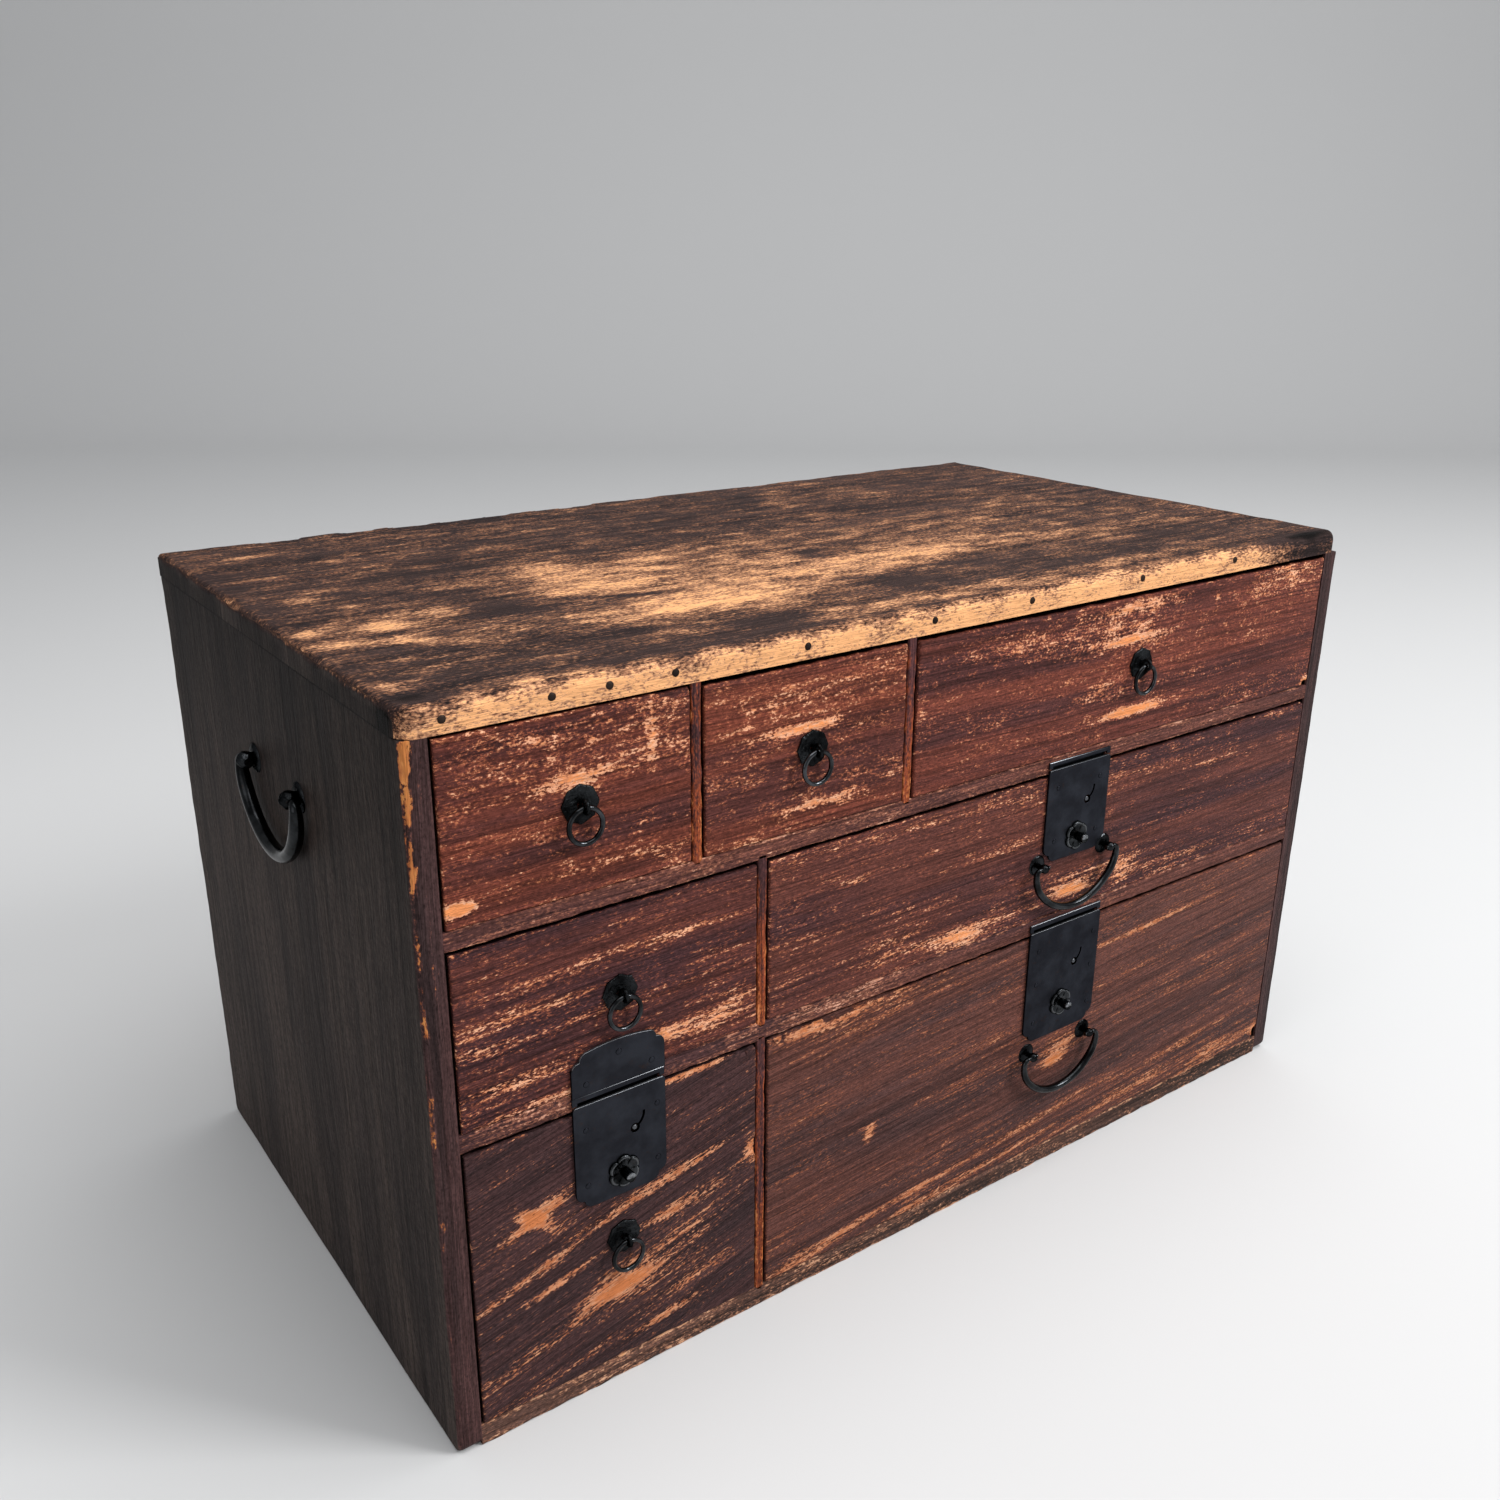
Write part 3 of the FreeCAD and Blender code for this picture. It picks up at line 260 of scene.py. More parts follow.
def lacquered_cedar(name, colours, hold, flake, cluster, rows, fade, gloss):
    """Softwood under a worn coat of lacquer.

    Of the colours, coat and shade are the two that the coat drifts between in bands along the grain,
    thin is the coat where it is nearly through, stain is the board just under it, wood and pale are
    the open grain, and deep is where it is worn furthest. hold is how well the coat has held. flake
    and cluster are the length and width in millimetres of one flake and of a drift of them, and how
    far wear breaks up into them, and rows is how far it follows lines along the grain. fade is how
    gently the coat thins before it is through and the stain after it. The eye sees fine dark lines
    of late wood, flakes that gather in drifts, and bare wood that is rougher than the lacquer. Where
    the wear runs below zero the colour is darkened as painted shade: in gaps, recesses and hidden
    faces, and towards the top of the sides.
    """
    material, tree = blank_material(name)
    grain = add(tree, "Attribute", {}, attribute_name="grain").outputs["Vector"]
    wear = add(tree, "Attribute", {}, attribute_name="wear").outputs["Fac"]
    slow = add(tree, "VectorMath", {0: grain, 1: (1 / 160, 1 / 40, 1 / 40)}, operation="MULTIPLY")
    sway = add(tree, "TexNoise", {"Vector": slow.outputs[0], "Scale": 1.0, "Detail": 2.0})
    bend = add(tree, "VectorMath", {0: sway.outputs["Color"], 1: (0.0, 7.0, 7.0), 2: grain},
               operation="MULTIPLY_ADD")
    # length along the grain and width across it, in millimetres, of each thing that is seen
    sizes = {"band": (260, 16, 2, 0.5), "ring": (500, 2.6, 2, 0.55), "fibre": (9, 0.6, 2, 0.6),
             "thread": (55, 1.0, 3, 0.7), "patch": (70, 24, 2, 0.5), "gather": (*cluster[:2], 3, 0.6),
             "flake": (*flake[:2], 4, 0.65), "tone": (8, 2.2, 3, 0.6), "speck": (2.2, 1.3, 2, 0.6)}
    seen = {"wear": wear}
    for what, (length, width, detail, rough) in sizes.items():
        stretch = add(tree, "VectorMath", {0: bend.outputs[0], 1: (1 / length, 1 / width, 1 / width)},
                      operation="MULTIPLY")
        seen[what] = add(tree, "TexNoise", {"Vector": stretch.outputs[0], "Scale": 1.0,
                                            "Detail": detail, "Roughness": rough}).outputs["Fac"]
    # how far the coat is gone: the wear of the place, and where flakes, rings and fibres let go
    weights = {"flake": flake[2], "gather": cluster[2], "patch": 1.3, "ring": rows, "fibre": 0.6,
               "speck": 0.9}
    gone = wear
    for what, weight in weights.items():
        gone = add(tree, "Math", {0: seen[what], 1: weight, 2: gone},
                   operation="MULTIPLY_ADD").outputs[0]
    seen["gone"] = gone
    edge = 0.5 * sum(weights.values()) + hold
    # how far each finish and line shows: what it follows, where it starts and ends, how strongly
    ramps = {"bare": ("gone", edge, edge + 0.05, 0, 1),
             "nearly": ("gone", edge - fade[0], edge + 0.05, 0, 0.9),
             "cleaned": ("gone", edge, edge + fade[1], 0, 1),
             "scrubbed": ("gone", edge + 0.4, edge + 1.1, 0, 0.95),
             "band": ("band", 0.34, 0.62, 0, 1), "tone": ("tone", 0.36, 0.64, 0, 0.8),
             "late": ("ring", 0.36, 0.52, 0.7, 1.06), "hair": ("fibre", 0.34, 0.64, 0.8, 1.18),
             "thread": ("thread", 0.34, 0.64, 0.72, 1.26), "grit": ("speck", 0.34, 0.66, 0.8, 1.2),
             "pore": ("flake", 0.28, 0.46, 0.45, 1.06), "bare_hair": ("fibre", 0.32, 0.6, 0.76, 1.08),
             "bare_late": ("thread", 0.34, 0.5, 0.74, 1.04),
             "bare_pore": ("speck", 0.28, 0.38, 0.45, 1.0), "soot": ("wear", -1.3, -0.5, 0.08, 1)}
    share = {}
    for what, (follows, start, end, low, high) in ramps.items():
        share[what] = add(tree, "MapRange", {"Value": seen[follows], "From Min": start, "From Max": end,
                                             "To Min": low, "To Max": high},
                          interpolation_type="SMOOTHSTEP").outputs[0]
    # the coat and the timber are mixed from their colours, then darkened along the grain
    colours = {what: linear(colour) for what, colour in colours.items()}
    mixes = (("coat", "band", "shade", "coat"), ("coat", "nearly", "coat", "thin"),
             ("wood", "tone", "wood", "pale"), ("wood", "scrubbed", "wood", "deep"),
             ("wood", "cleaned", "stain", "wood"))
    for made, part, first, second in mixes:
        links = {"Factor": share[part], "A": colours[first], "B": colours[second]}
        colours[made] = add(tree, "Mix", links, data_type="RGBA").outputs["Result"]
    for made, parts in (("coat", ("late", "hair", "thread", "grit", "pore")),
                        ("wood", ("bare_hair", "bare_late", "bare_pore"))):
        for part in parts:
            colours[made] = add(tree, "VectorMath", {0: colours[made], "Scale": share[part]},
                                operation="SCALE").outputs[0]
    colour = add(tree, "Mix", {"Factor": share["bare"], "A": colours["coat"], "B": colours["wood"]},
                 data_type="RGBA").outputs["Result"]
    # painted shade: the colour darkens where the wear runs below zero, in gaps, recesses, hidden faces
    # and towards the top of the sides
    colour = add(tree, "VectorMath", {0: colour, "Scale": share["soot"]}, operation="SCALE").outputs[0]
    rough = add(tree, "MapRange", {"Value": share["bare"], "To Min": gloss, "To Max": 0.8}).outputs[0]
    relief = seen["ring"]
    for height, weight in ((seen["fibre"], 0.8), (seen["flake"], 0.5), (share["bare"], -0.3)):
        relief = add(tree, "Math", {0: height, 1: weight, 2: relief},
                     operation="MULTIPLY_ADD").outputs[0]
    bump = add(tree, "Bump", {"Height": relief, "Distance": 0.55 * MM, "Strength": 0.9})
    surface = add(tree, "BsdfPrincipled", {"Base Color": colour, "Roughness": rough, "IOR": 1.5,
                                           "Normal": bump.outputs[0], "Specular IOR Level": 0.05})
    add(tree, "OutputMaterial", {"Surface": surface.outputs[0]})
    return material


smoked_lid = lacquered_cedar(
    "cedar_dark_lacquered_rubbed",
    {"coat": "#372926", "shade": "#241b1b", "thin": "#654638", "stain": "#855b43", "wood": "#a9795d",
     "pale": "#cb9b78", "deep": "#e9ab76"},
    hold=0.5, flake=(2.6, 1.2, 4.0), cluster=(22, 9, 2.6), rows=0.9, fade=(0.65, 0.8), gloss=0.6)

smoked_side = lacquered_cedar(
    "cedar_dark_stained_side",
    {"coat": "#3b322e", "shade": "#2d2624", "thin": "#463430", "stain": "#6f4937", "wood": "#956449",
     "pale": "#b98866", "deep": "#b98866"},
    hold=1.6, flake=(4.0, 0.9, 2.9), cluster=(30, 3, 1.7), rows=1.5, fade=(0.5, 0.3), gloss=0.6)

lid_low, lid_high = corners_of("top_board")
LID_THICK = lid_high[2] - lid_low[2]
LID_CORNER = 9.0
LID_RUBBED = [(-70, -70, 150, 52, 0.7, 0), (-160, 10, 26, 34, 0.75, 0),
              (-163, -40, 40, 15, 0.75, -10), (-147, -105, 60, 20, 0.75, -10),
              (-90, -112, 55, 24, 0.5, -15), (-70, -156, 40, 12, 0.5, 0),
              (-20, -85, 45, 20, 0.5, -15), (56, -76, 60, 18, 0.65, -10),
              (160, -80, 95, 24, 0.55, -8), (15, -166, 60, 9, 0.7, 0), (120, -162, 90, 9, 0.6, 0),
              (-110, 0, 70, 30, 0.35, 0), (60, -15, 170, 42, 0.3, 0), (-156, 126, 50, 30, 0.2, 0),
              (-298, 13, 11, 12, 0.95, -20), (-283, -9, 8, 5, 0.7, -20),
              (-280, -56, 20, 10, 1.3, -20), (-245, -45, 15, 8, 0.8, -20),
              (-320, -49, 9, 9, 1.1, -10), (-312, -76, 13, 9, 0.95, -20),
              (-281, -87, 11, 8, 0.95, -20), (-321, -150, 6, 7, 0.8, 0),
              (-297, -117, 9, 2.4, 0.8, -20), (-300, 80, 20, 1.8, 1.1, 0),
              (-291, 141, 15, 4.5, 1.1, 0), (-254, -101, 17, 8, 0.65, -20),
              (-267, -176, 9, 5, 0.8, 0), (-242, -177, 11, 5, 0.7, 0),
              (-217, -60, 19, 11, -0.9, -20), (-153, -67, 34, 3.2, -1.0, -22),
              (-4, -39, 13, 12, -0.8, -15), (-10, -120, 28, 16, -0.9, -20),
              (-116, -155, 22, 8, -0.7, -10), (70, -117, 34, 11, -0.7, -10),
              (130, -144, 50, 7, -0.4, 0), (-204, -168, 50, 8, -0.4, -4),
              (-228, -25, 15, 20, -0.4, 0)]
LID_CHIPS = [(-262, 184, 22, 5, 1.6), (-140, 184, 45, 6, 3.2), (-60, 184, 30, 5, 2.4),
             (-205, 184, 12, 7, 2.0), (120, 184, 40, 4, 1.5), (-330, 40, 4, 16, 1.4)]
LID_JOINT = 74.5
lid_uneven = ripple(11, 40, 220)
lid_edge_uneven = ripple(12, 14, 70)
lid_band_uneven = ripple(13, 10, 60)


def lid_place(a, b, d):
    """Height is the lid's face less the depth, and both front corners are rounded in plan."""
    past = np.clip(LID_CORNER - np.minimum(a - lid_low[0], lid_high[0] - a), 0, None)
    sag = LID_CORNER - np.sqrt(LID_CORNER ** 2 - past ** 2)
    forward = 1 - (b - lid_low[1]) / (lid_high[1] - lid_low[1])
    return a, b + sag * forward, lid_high[2] - d


def lid_face(a, b):
    """Hollows of planing and wear, worn arrises, chips, and an open line at the joint."""
    hollow = 0.18 + 0.12 * lid_uneven(a, b)
    rounds = [3.6 + 0.8 * lid_edge_uneven(a, b), 3.6 + 0.8 * lid_edge_uneven(a, -b),
              5.9 + 0.7 * lid_edge_uneven(a, b + 50), 3.4 + 0.9 * lid_edge_uneven(a, b + 90)]
    joint = 1.3 * np.exp(-((b - LID_JOINT - 0.6 * lid_edge_uneven(a, 0 * b)) / 0.7) ** 2)
    joint = joint * np.clip((90 - a) / 60, 0, 1)
    chipped = split_away(LID_CHIPS, a, b + 1.5 * lid_edge_uneven(a, b))
    return np.clip(hollow, 0, None) + fallen_edge(a, b, rounds) + joint + chipped


def lid_wear(points):
    """Rubbed bare along the front edge and where things have stood, and at each chip. The front band
    weakens towards the left end, partly as wear and partly as painted shade, and the underside is
    darkened as painted shade.
    """
    x, y, z = points.T
    wear = rubbed(LID_RUBBED, x, y)
    deep = lid_high[2] - z
    band = lid_low[1] + 1.2 + 0.8 * lid_band_uneven(x, 0 * x) - y + 0.3 * deep
    # the front band, rubbed bare and weaker towards the left end: partly wear and partly painted shade
    wear += (2.0 - 0.75 * np.exp(-(x - lid_low[0]) / 100)) / (1 + np.exp(-band / 3.0))
    wear -= 2.1 * rubbed([(300, -182, 40, 9, 1.0, 0), (-318, -172, 14, 9, 0.5, 0)], x, y)
    ends = np.minimum(x - lid_low[0], lid_high[0] - x)
    wear += 0.1 * np.exp(-ends / 1.5 - deep / 2.0)
    wear -= 0.95 * (ends < 0.7) * np.clip((deep - 2) / 2, 0, 1)
    wear += 0.6 * (split_away(LID_CHIPS, x, y) > 0.4)
    # the underside is set far below zero: painted shade under the lid
    return np.where((deep > LID_THICK - 0.4) & (y > lid_low[1] + 1.0), -2.0, wear)


def at_lid_end(points):
    """True on the two ends, where the stain has kept and the lacquer hasn't."""
    return np.abs(points[:, 0]) > lid_high[0] - 0.6


def lid_grain(points):
    """Along the board, and upright on its two ends."""
    flat, upright = lies_along("xyz", 0, (0, 900, 0)), lies_along("zyx", 0, (0, -300, 0))
    return np.where(at_lid_end(points)[:, None], upright(points), flat(points))


REBATE_FROM = 177.0
REBATE_ENDS = 323.0
LID_REBATE_DEEP = 9.0
LID_LINES = (LID_JOINT - 1.3, LID_JOINT - 0.5, LID_JOINT + 0.4, LID_JOINT + 1.3, REBATE_FROM)


def lid_under(a, b):
    """Flat below, with a rebate along the rear that the back board stands in."""
    return np.where((b > REBATE_FROM) & (np.abs(a) < REBATE_ENDS), LID_REBATE_DEEP, LID_THICK)


lid_parts = board(spaced(lid_low[0], lid_high[0], 3.0, (-REBATE_ENDS, REBATE_ENDS)),
                  spaced(lid_low[1], lid_high[1], 2.8, LID_LINES), lid_place, lid_face, lid_under,
                  (6.5, 7.5, 8.7, 10, 11.4, 12.6, 13.3))
piece("lid_board", [lid_parts], smoked_lid, "case", ["top_board"], lid_grain, lid_wear,
      trim=(smoked_side, lambda middle: at_lid_end(middle) & (middle[:, 2] < lid_high[2] - 4.5)))

# ------------------------------------------------------------------------------
# The two sides: cedar boards with upright grain, stained almost black, that run to the ground.
# Their front edges are lacquered with the drawers and are rubbed bare along the outer arris.

case_edge = lacquered_cedar(
    "cedar_lacquered_side_edge",
    {"coat": "#452f2e", "shade": "#332626", "thin": "#5d3a33", "stain": "#8a4c2e", "wood": "#aa653d",
     "pale": "#c98950", "deep": "#b97440"},
    hold=1.1, flake=(2.6, 1.2, 2.9), cluster=(24, 3, 1.7), rows=1.5, fade=(0.5, 0.3), gloss=0.5)
SIDE_TALL = 381.0
SIDE_THICK = 13.0
SIDE_FOOT = 6.0
SIDE_REBATE_DEEP = 7.0


def side_board(name, hand, seed):
    """One side: hand is -1 for the left and 1 for the right."""
    low, high = corners_of(name)
    top = low[2] + SIDE_TALL
    outer = hand * max(abs(low[0]), abs(high[0]))
    uneven, nicks = ripple(seed, 60, 260), ripple(seed + 1, 9, 60)
    middle, half = (low[1] + high[1]) / 2, (high[1] - low[1]) / 2

    def place(a, b, d):
        past = np.clip(SIDE_FOOT - (a - low[2]), 0, None)
        sag = SIDE_FOOT - np.sqrt(SIDE_FOOT ** 2 - past ** 2)
        return outer - hand * d, middle + (b - middle) * (half - sag) / half, a

    def face(a, b):
        worn = 2.8 + 0.5 * nicks(a, b) if hand < 0 else 1.6 + 0.15 * nicks(a, b)
        rounds = [1.6, 0.25, worn, 2.6 + 0.5 * nicks(a, b + 80)]
        return np.clip(0.15 + 0.1 * uneven(a, b), 0, None) + fallen_edge(a, b, rounds)

    def wear(points):
        x, y, z = points.T
        inward = np.abs(x - outer)
        edge = np.exp(-(y - low[1]) / 2.0)
        reach = 1.3 + 4.2 * np.exp((z - top) / 50) if hand < 0 else -1.5
        strip = reach + 1.2 * nicks(z, 0 * z) - inward
        high_up = np.clip((z - 40) / 330, 0, 1)
        bare = edge * 1.9 * (0.4 + 0.6 * high_up) / (1 + np.exp(-strip / 0.5))
        # painted shade: the face behind the front edge keeps its coat and darkens towards the top
        bare -= (0.5 + 0.45 * np.clip((z - 150) / 230, 0, 1)) * (y > low[1] + 3)
        # painted shade on the inner face, in the gap beside the drawers
        painted_gap_shade = (inward > 11.5) * np.clip(y - low[1] - 1.0, 0, 1.5)
        return bare + 0.45 * np.exp(-(high[1] - y) / 2.0) - 1.4 * painted_gap_shade

    parts = board(spaced(low[2], top, 3.2), spaced(low[1], high[1], 3.2, (REBATE_FROM,)), place, face,
                  lambda a, b: np.where(b > REBATE_FROM, SIDE_REBATE_DEEP, SIDE_THICK),
                  (3.8, 4.8, 6.0, 7.5, 9.5, 11.5))
    piece(name + "_board", [parts], smoked_side, "case", [name],
          lambda points: lies_along("zyx", 0, (0, 300 * hand, 0))(points) * (1, 0.45, 1), wear,
          trim=(case_edge, lambda middle: middle[:, 1] < low[1] + 1.6))


side_board("left_side", -1, 21)
side_board("right_side", 1, 24)

# ------------------------------------------------------------------------------
# Shelves, uprights and the bottom board: thin cedar boards whose front edges show between the
# drawers. They are lacquered in front only, and every edge is rubbed by the drawers that pass it.

rail_edge = lacquered_cedar(
    "cedar_lacquered_shelf_edge",
    {"coat": "#5b3730", "shade": "#432c2c", "thin": "#80503f", "stain": "#a06a54", "wood": "#b98068",
     "pale": "#dba890", "deep": "#cf8660"},
    hold=0.8, flake=(2.4, 1.1, 2.9), cluster=(20, 3, 1.9), rows=1.0, fade=(0.6, 0.3), gloss=0.5)
upright_edge = lacquered_cedar(
    "cedar_stained_upright_edge",
    {"coat": "#4a2e2f", "shade": "#382425", "thin": "#8b4326", "stain": "#944a28", "wood": "#b5653a",
     "pale": "#cf8a5c", "deep": "#c8743f"},
    hold=1.0, flake=(2.4, 1.0, 2.4), cluster=(30, 3, 1.7), rows=0.8, fade=(1.0, 0.4), gloss=0.5)
foot_edge = lacquered_cedar(
    "cedar_brown_scuffed_foot",
    {"coat": "#573f37", "shade": "#3b2e2a", "thin": "#7d5645", "stain": "#986a54", "wood": "#b98668",
     "pale": "#d8ab8a", "deep": "#c88d62"},
    hold=0.5, flake=(2.6, 1.2, 3.2), cluster=(16, 4, 2.0), rows=0.8, fade=(0.5, 0.3), gloss=0.6)
# where each lock's parts lie, and its nails as the middle and the half width of their rows
LOCKS = {
    "middle_right": {"centre": 90.2, "wide": 53.0, "bottom": 222.8, "top": 282.6,
                     "knob": (91.0, 235.5), "keyhole": (98.6, 257.4), "nails": (90.2, 18.2),
                     "nail_rows": (270.4, 235.8), "shelf": "upper_shelf", "strike": (284.9, 287.5)},
    "bottom_right": {"centre": 90.1, "wide": 62.8, "bottom": 99.4, "top": 176.7,
                     "knob": (90.1, 120.5), "keyhole": (100.5, 146.0), "nails": (91.4, 24.6),
                     "nail_rows": (163.0, 139.5, 112.3), "shelf": "lower_shelf",
                     "strike": (178.8, 182.3)},
    "bottom_left": {"centre": -232.0, "wide": 53.0, "bottom": 117.2, "top": 177.4,
                    "knob": (-231.2, 131.0), "keyhole": (-223.8, 153.5), "nails": (-231.2, 20.6),
                    "nail_rows": (163.1, 130.5), "shelf": "lower_shelf", "strike": (179.6, 182.7)},
}
STRIKE_LEG = 3.0
MOUTH_DEEP = 2.2
BOLT_HALF = 5.6
BOLT_SLOT = (4.1, 8.3)
MORTISE_TALL = 6.6
CASE_FRONT = -184.0
SIDE_INNER = 317.0
RAIL_RUBBED = {"lower_shelf": [(-95, 180, 60, 7, 0.75, 0), (-262, 180, 50, 7, 0.4, 0)],
               "upper_shelf": [(-160, 285, 60, 7, 0.3, 0), (-20, 285, 50, 7, 0.35, 0)]}


def case_rail(name, grain_axis, seed, finish):
    """A thin board seen edge on: its front edge is the face of the height field.

    A shelf over a lock has a shallow mouth cut in that edge and a mortise for the bolt below.
    """
    low, high = corners_of(name)
    along_axis, across_axis = (0, 2) if grain_axis == "x" else (2, 0)
    start, end = low[along_axis], high[along_axis]
    if grain_axis == "x":
        start, end = -SIDE_INNER, SIDE_INNER
    nicks = ripple(seed, 6, 50)
    deep = high[1] - low[1]
    under, over = low[across_axis], high[across_axis]
    locks = [made for made in LOCKS.values() if made["shelf"] == name]
    mouths = [(made["centre"], made["wide"] / 2 - STRIKE_LEG, made["strike"][0]) for made in locks]
    knobs = [made["knob"][0] for made in locks]
    stops = [m + side * half for m, half, _ in mouths for side in (-1, 1)]
    stops += [knob + side * BOLT_HALF for knob in knobs for side in (-1, 1)]
    arris = np.array([0, 0.2, 0.5, 0.9, 1.4])
    across = np.unique(np.concatenate([under + arris, over - arris,
                                       np.arange(under + 2.0, over - 1.9, (over - under) / 8),
                                       both_sides([top for _, _, top in mouths])]))
    along = np.unique(np.concatenate([np.linspace(start, end, round((end - start) / 2.2)),
                                      both_sides(stops)]))

    def place(a, b, d):
        y = low[1] + d
        return (a, y, b) if grain_axis == "x" else (b, y, a)

    def face(a, b):
        worn = 0.9 + 0.35 * nicks(a, 0 * b)
        gap = np.minimum(b - under, over - b)
        past = np.clip(worn - gap, 0, None)
        depth = 0.1 + worn - np.sqrt(np.clip(worn ** 2 - np.minimum(past, worn) ** 2, 0, None))
        for middle, half, top in mouths:
            depth = np.where((np.abs(a - middle) < half) & (b < top), MOUTH_DEEP, depth)
        return depth

    def carve(a, b, d):
        raised = 0 * a
        for knob in knobs:
            raised += (np.abs(a - knob) < BOLT_HALF) & (d > BOLT_SLOT[0]) & (d < BOLT_SLOT[1])
        return a, b + MORTISE_TALL * raised * (b < under + 0.01), d

    def wear(points):
        along_board = points[:, along_axis]
        gap = np.minimum(points[:, across_axis] - under, over - points[:, across_axis])
        edge = 0.5 * np.exp(-gap / 0.8) * (1 + 0.8 * nicks(along_board, 0 * along_board + 40))
        down = (end - along_board) / (end - start)
        # painted shade on the faces behind the front edge, in the gaps between drawers
        painted_gap_shade = np.clip(points[:, 1] - low[1] - 1.0, 0, 1.5)
        edge += rubbed(RAIL_RUBBED.get(name, []), along_board, points[:, across_axis])
        return edge + (0.1 if grain_axis == "x" else 1.1 * down - 0.15) - 1.4 * painted_gap_shade

    rows = sorted([1.4, 2.6, 3.4, 16, 40] + both_sides(BOLT_SLOT))
    parts = board(along, across, place, face, lambda a, b: 0 * a + deep, rows, carve)
    axes = "xzy" if grain_axis == "x" else "zxy"
    piece(name + "_rail", [parts], finish, "case", [name],
          lies_along(axes, 0, (70 * seed, 31 * seed, 0)), wear)


case_rail("bottom_board", "x", 31, foot_edge)
for number, divider in enumerate(("top_divider_left", "top_divider_right", "middle_divider",
                                  "bottom_divider")):
    case_rail(divider, "z", 34 + number, upright_edge)
for number, shelf in enumerate(("upper_shelf", "lower_shelf")):
    case_rail(shelf, "x", 51 + number, rail_edge)

# ------------------------------------------------------------------------------
# Seven drawer fronts: cedar boards with the grain along them, stained and lacquered red-brown. The
# coat has flaked along the grain where hands reach for the pulls and where drawers rub, and the
# grain of the bottom row climbs to the right.

UPPER_WOOD = {"stain": "#a86246", "wood": "#cf865e", "pale": "#efb896", "deep": "#e38f58"}
LOWER_WOOD = {"stain": "#8d5039", "wood": "#b26d4a", "pale": "#d69d7a", "deep": "#c07346"}
# the coat, the shade that it drifts to and the coat worn thin
FRONT_COATS = {"top_left": ("#643328", "#452725", "#8a4c36"),
               "top_middle": ("#6a3629", "#4c2a26", "#8c4f38"),
               "top_right": ("#64342a", "#482927", "#8a4c38"),
               "middle_left": ("#532e29", "#3a2426", "#7a4231"),
               "middle_right": ("#58322b", "#3f2728", "#7c4534"),
               "bottom_left": ("#402b2b", "#342526", "#5a3830"),
               "bottom_right": ("#593730", "#442e2c", "#7c4833")}
FRONT_HOLD = {"top": 0.66, "middle": 0.68, "bottom": 0.74}
FRONT_FLAKES = {"top": ((2.0, 1.3, 3.3), (14, 4.6, 2.3), 0.8),
                "middle": ((2.3, 1.0, 3.2), (19, 3.4, 2.2), 1.3),
                "bottom": ((2.4, 0.9, 3.0), (22, 2.6, 2.0), 1.5)}
FRONT_THICK = 12.0
LAP_DEEP = 6.5
LAP_WIDE = 6.0
LAP_TALL = 4.5
LAP_TOP = 4.0
BOLT_SLOT_DEEP = 6.0
TOP_WORN_DOWN = {"top_left": 0.6, "top_middle": 1.5, "top_right": 1.8, "middle_left": 1.1,
                 "middle_right": 1.1, "bottom_left": 1.1, "bottom_right": 1.1}
LEFT_END_IN = 0.9
GRAIN_TILT = {"top_left": 1.0, "top_middle": 0.0, "top_right": 0.0, "middle_left": 1.5,
              "middle_right": 0.6, "bottom_left": 14.0, "bottom_right": 3.5}
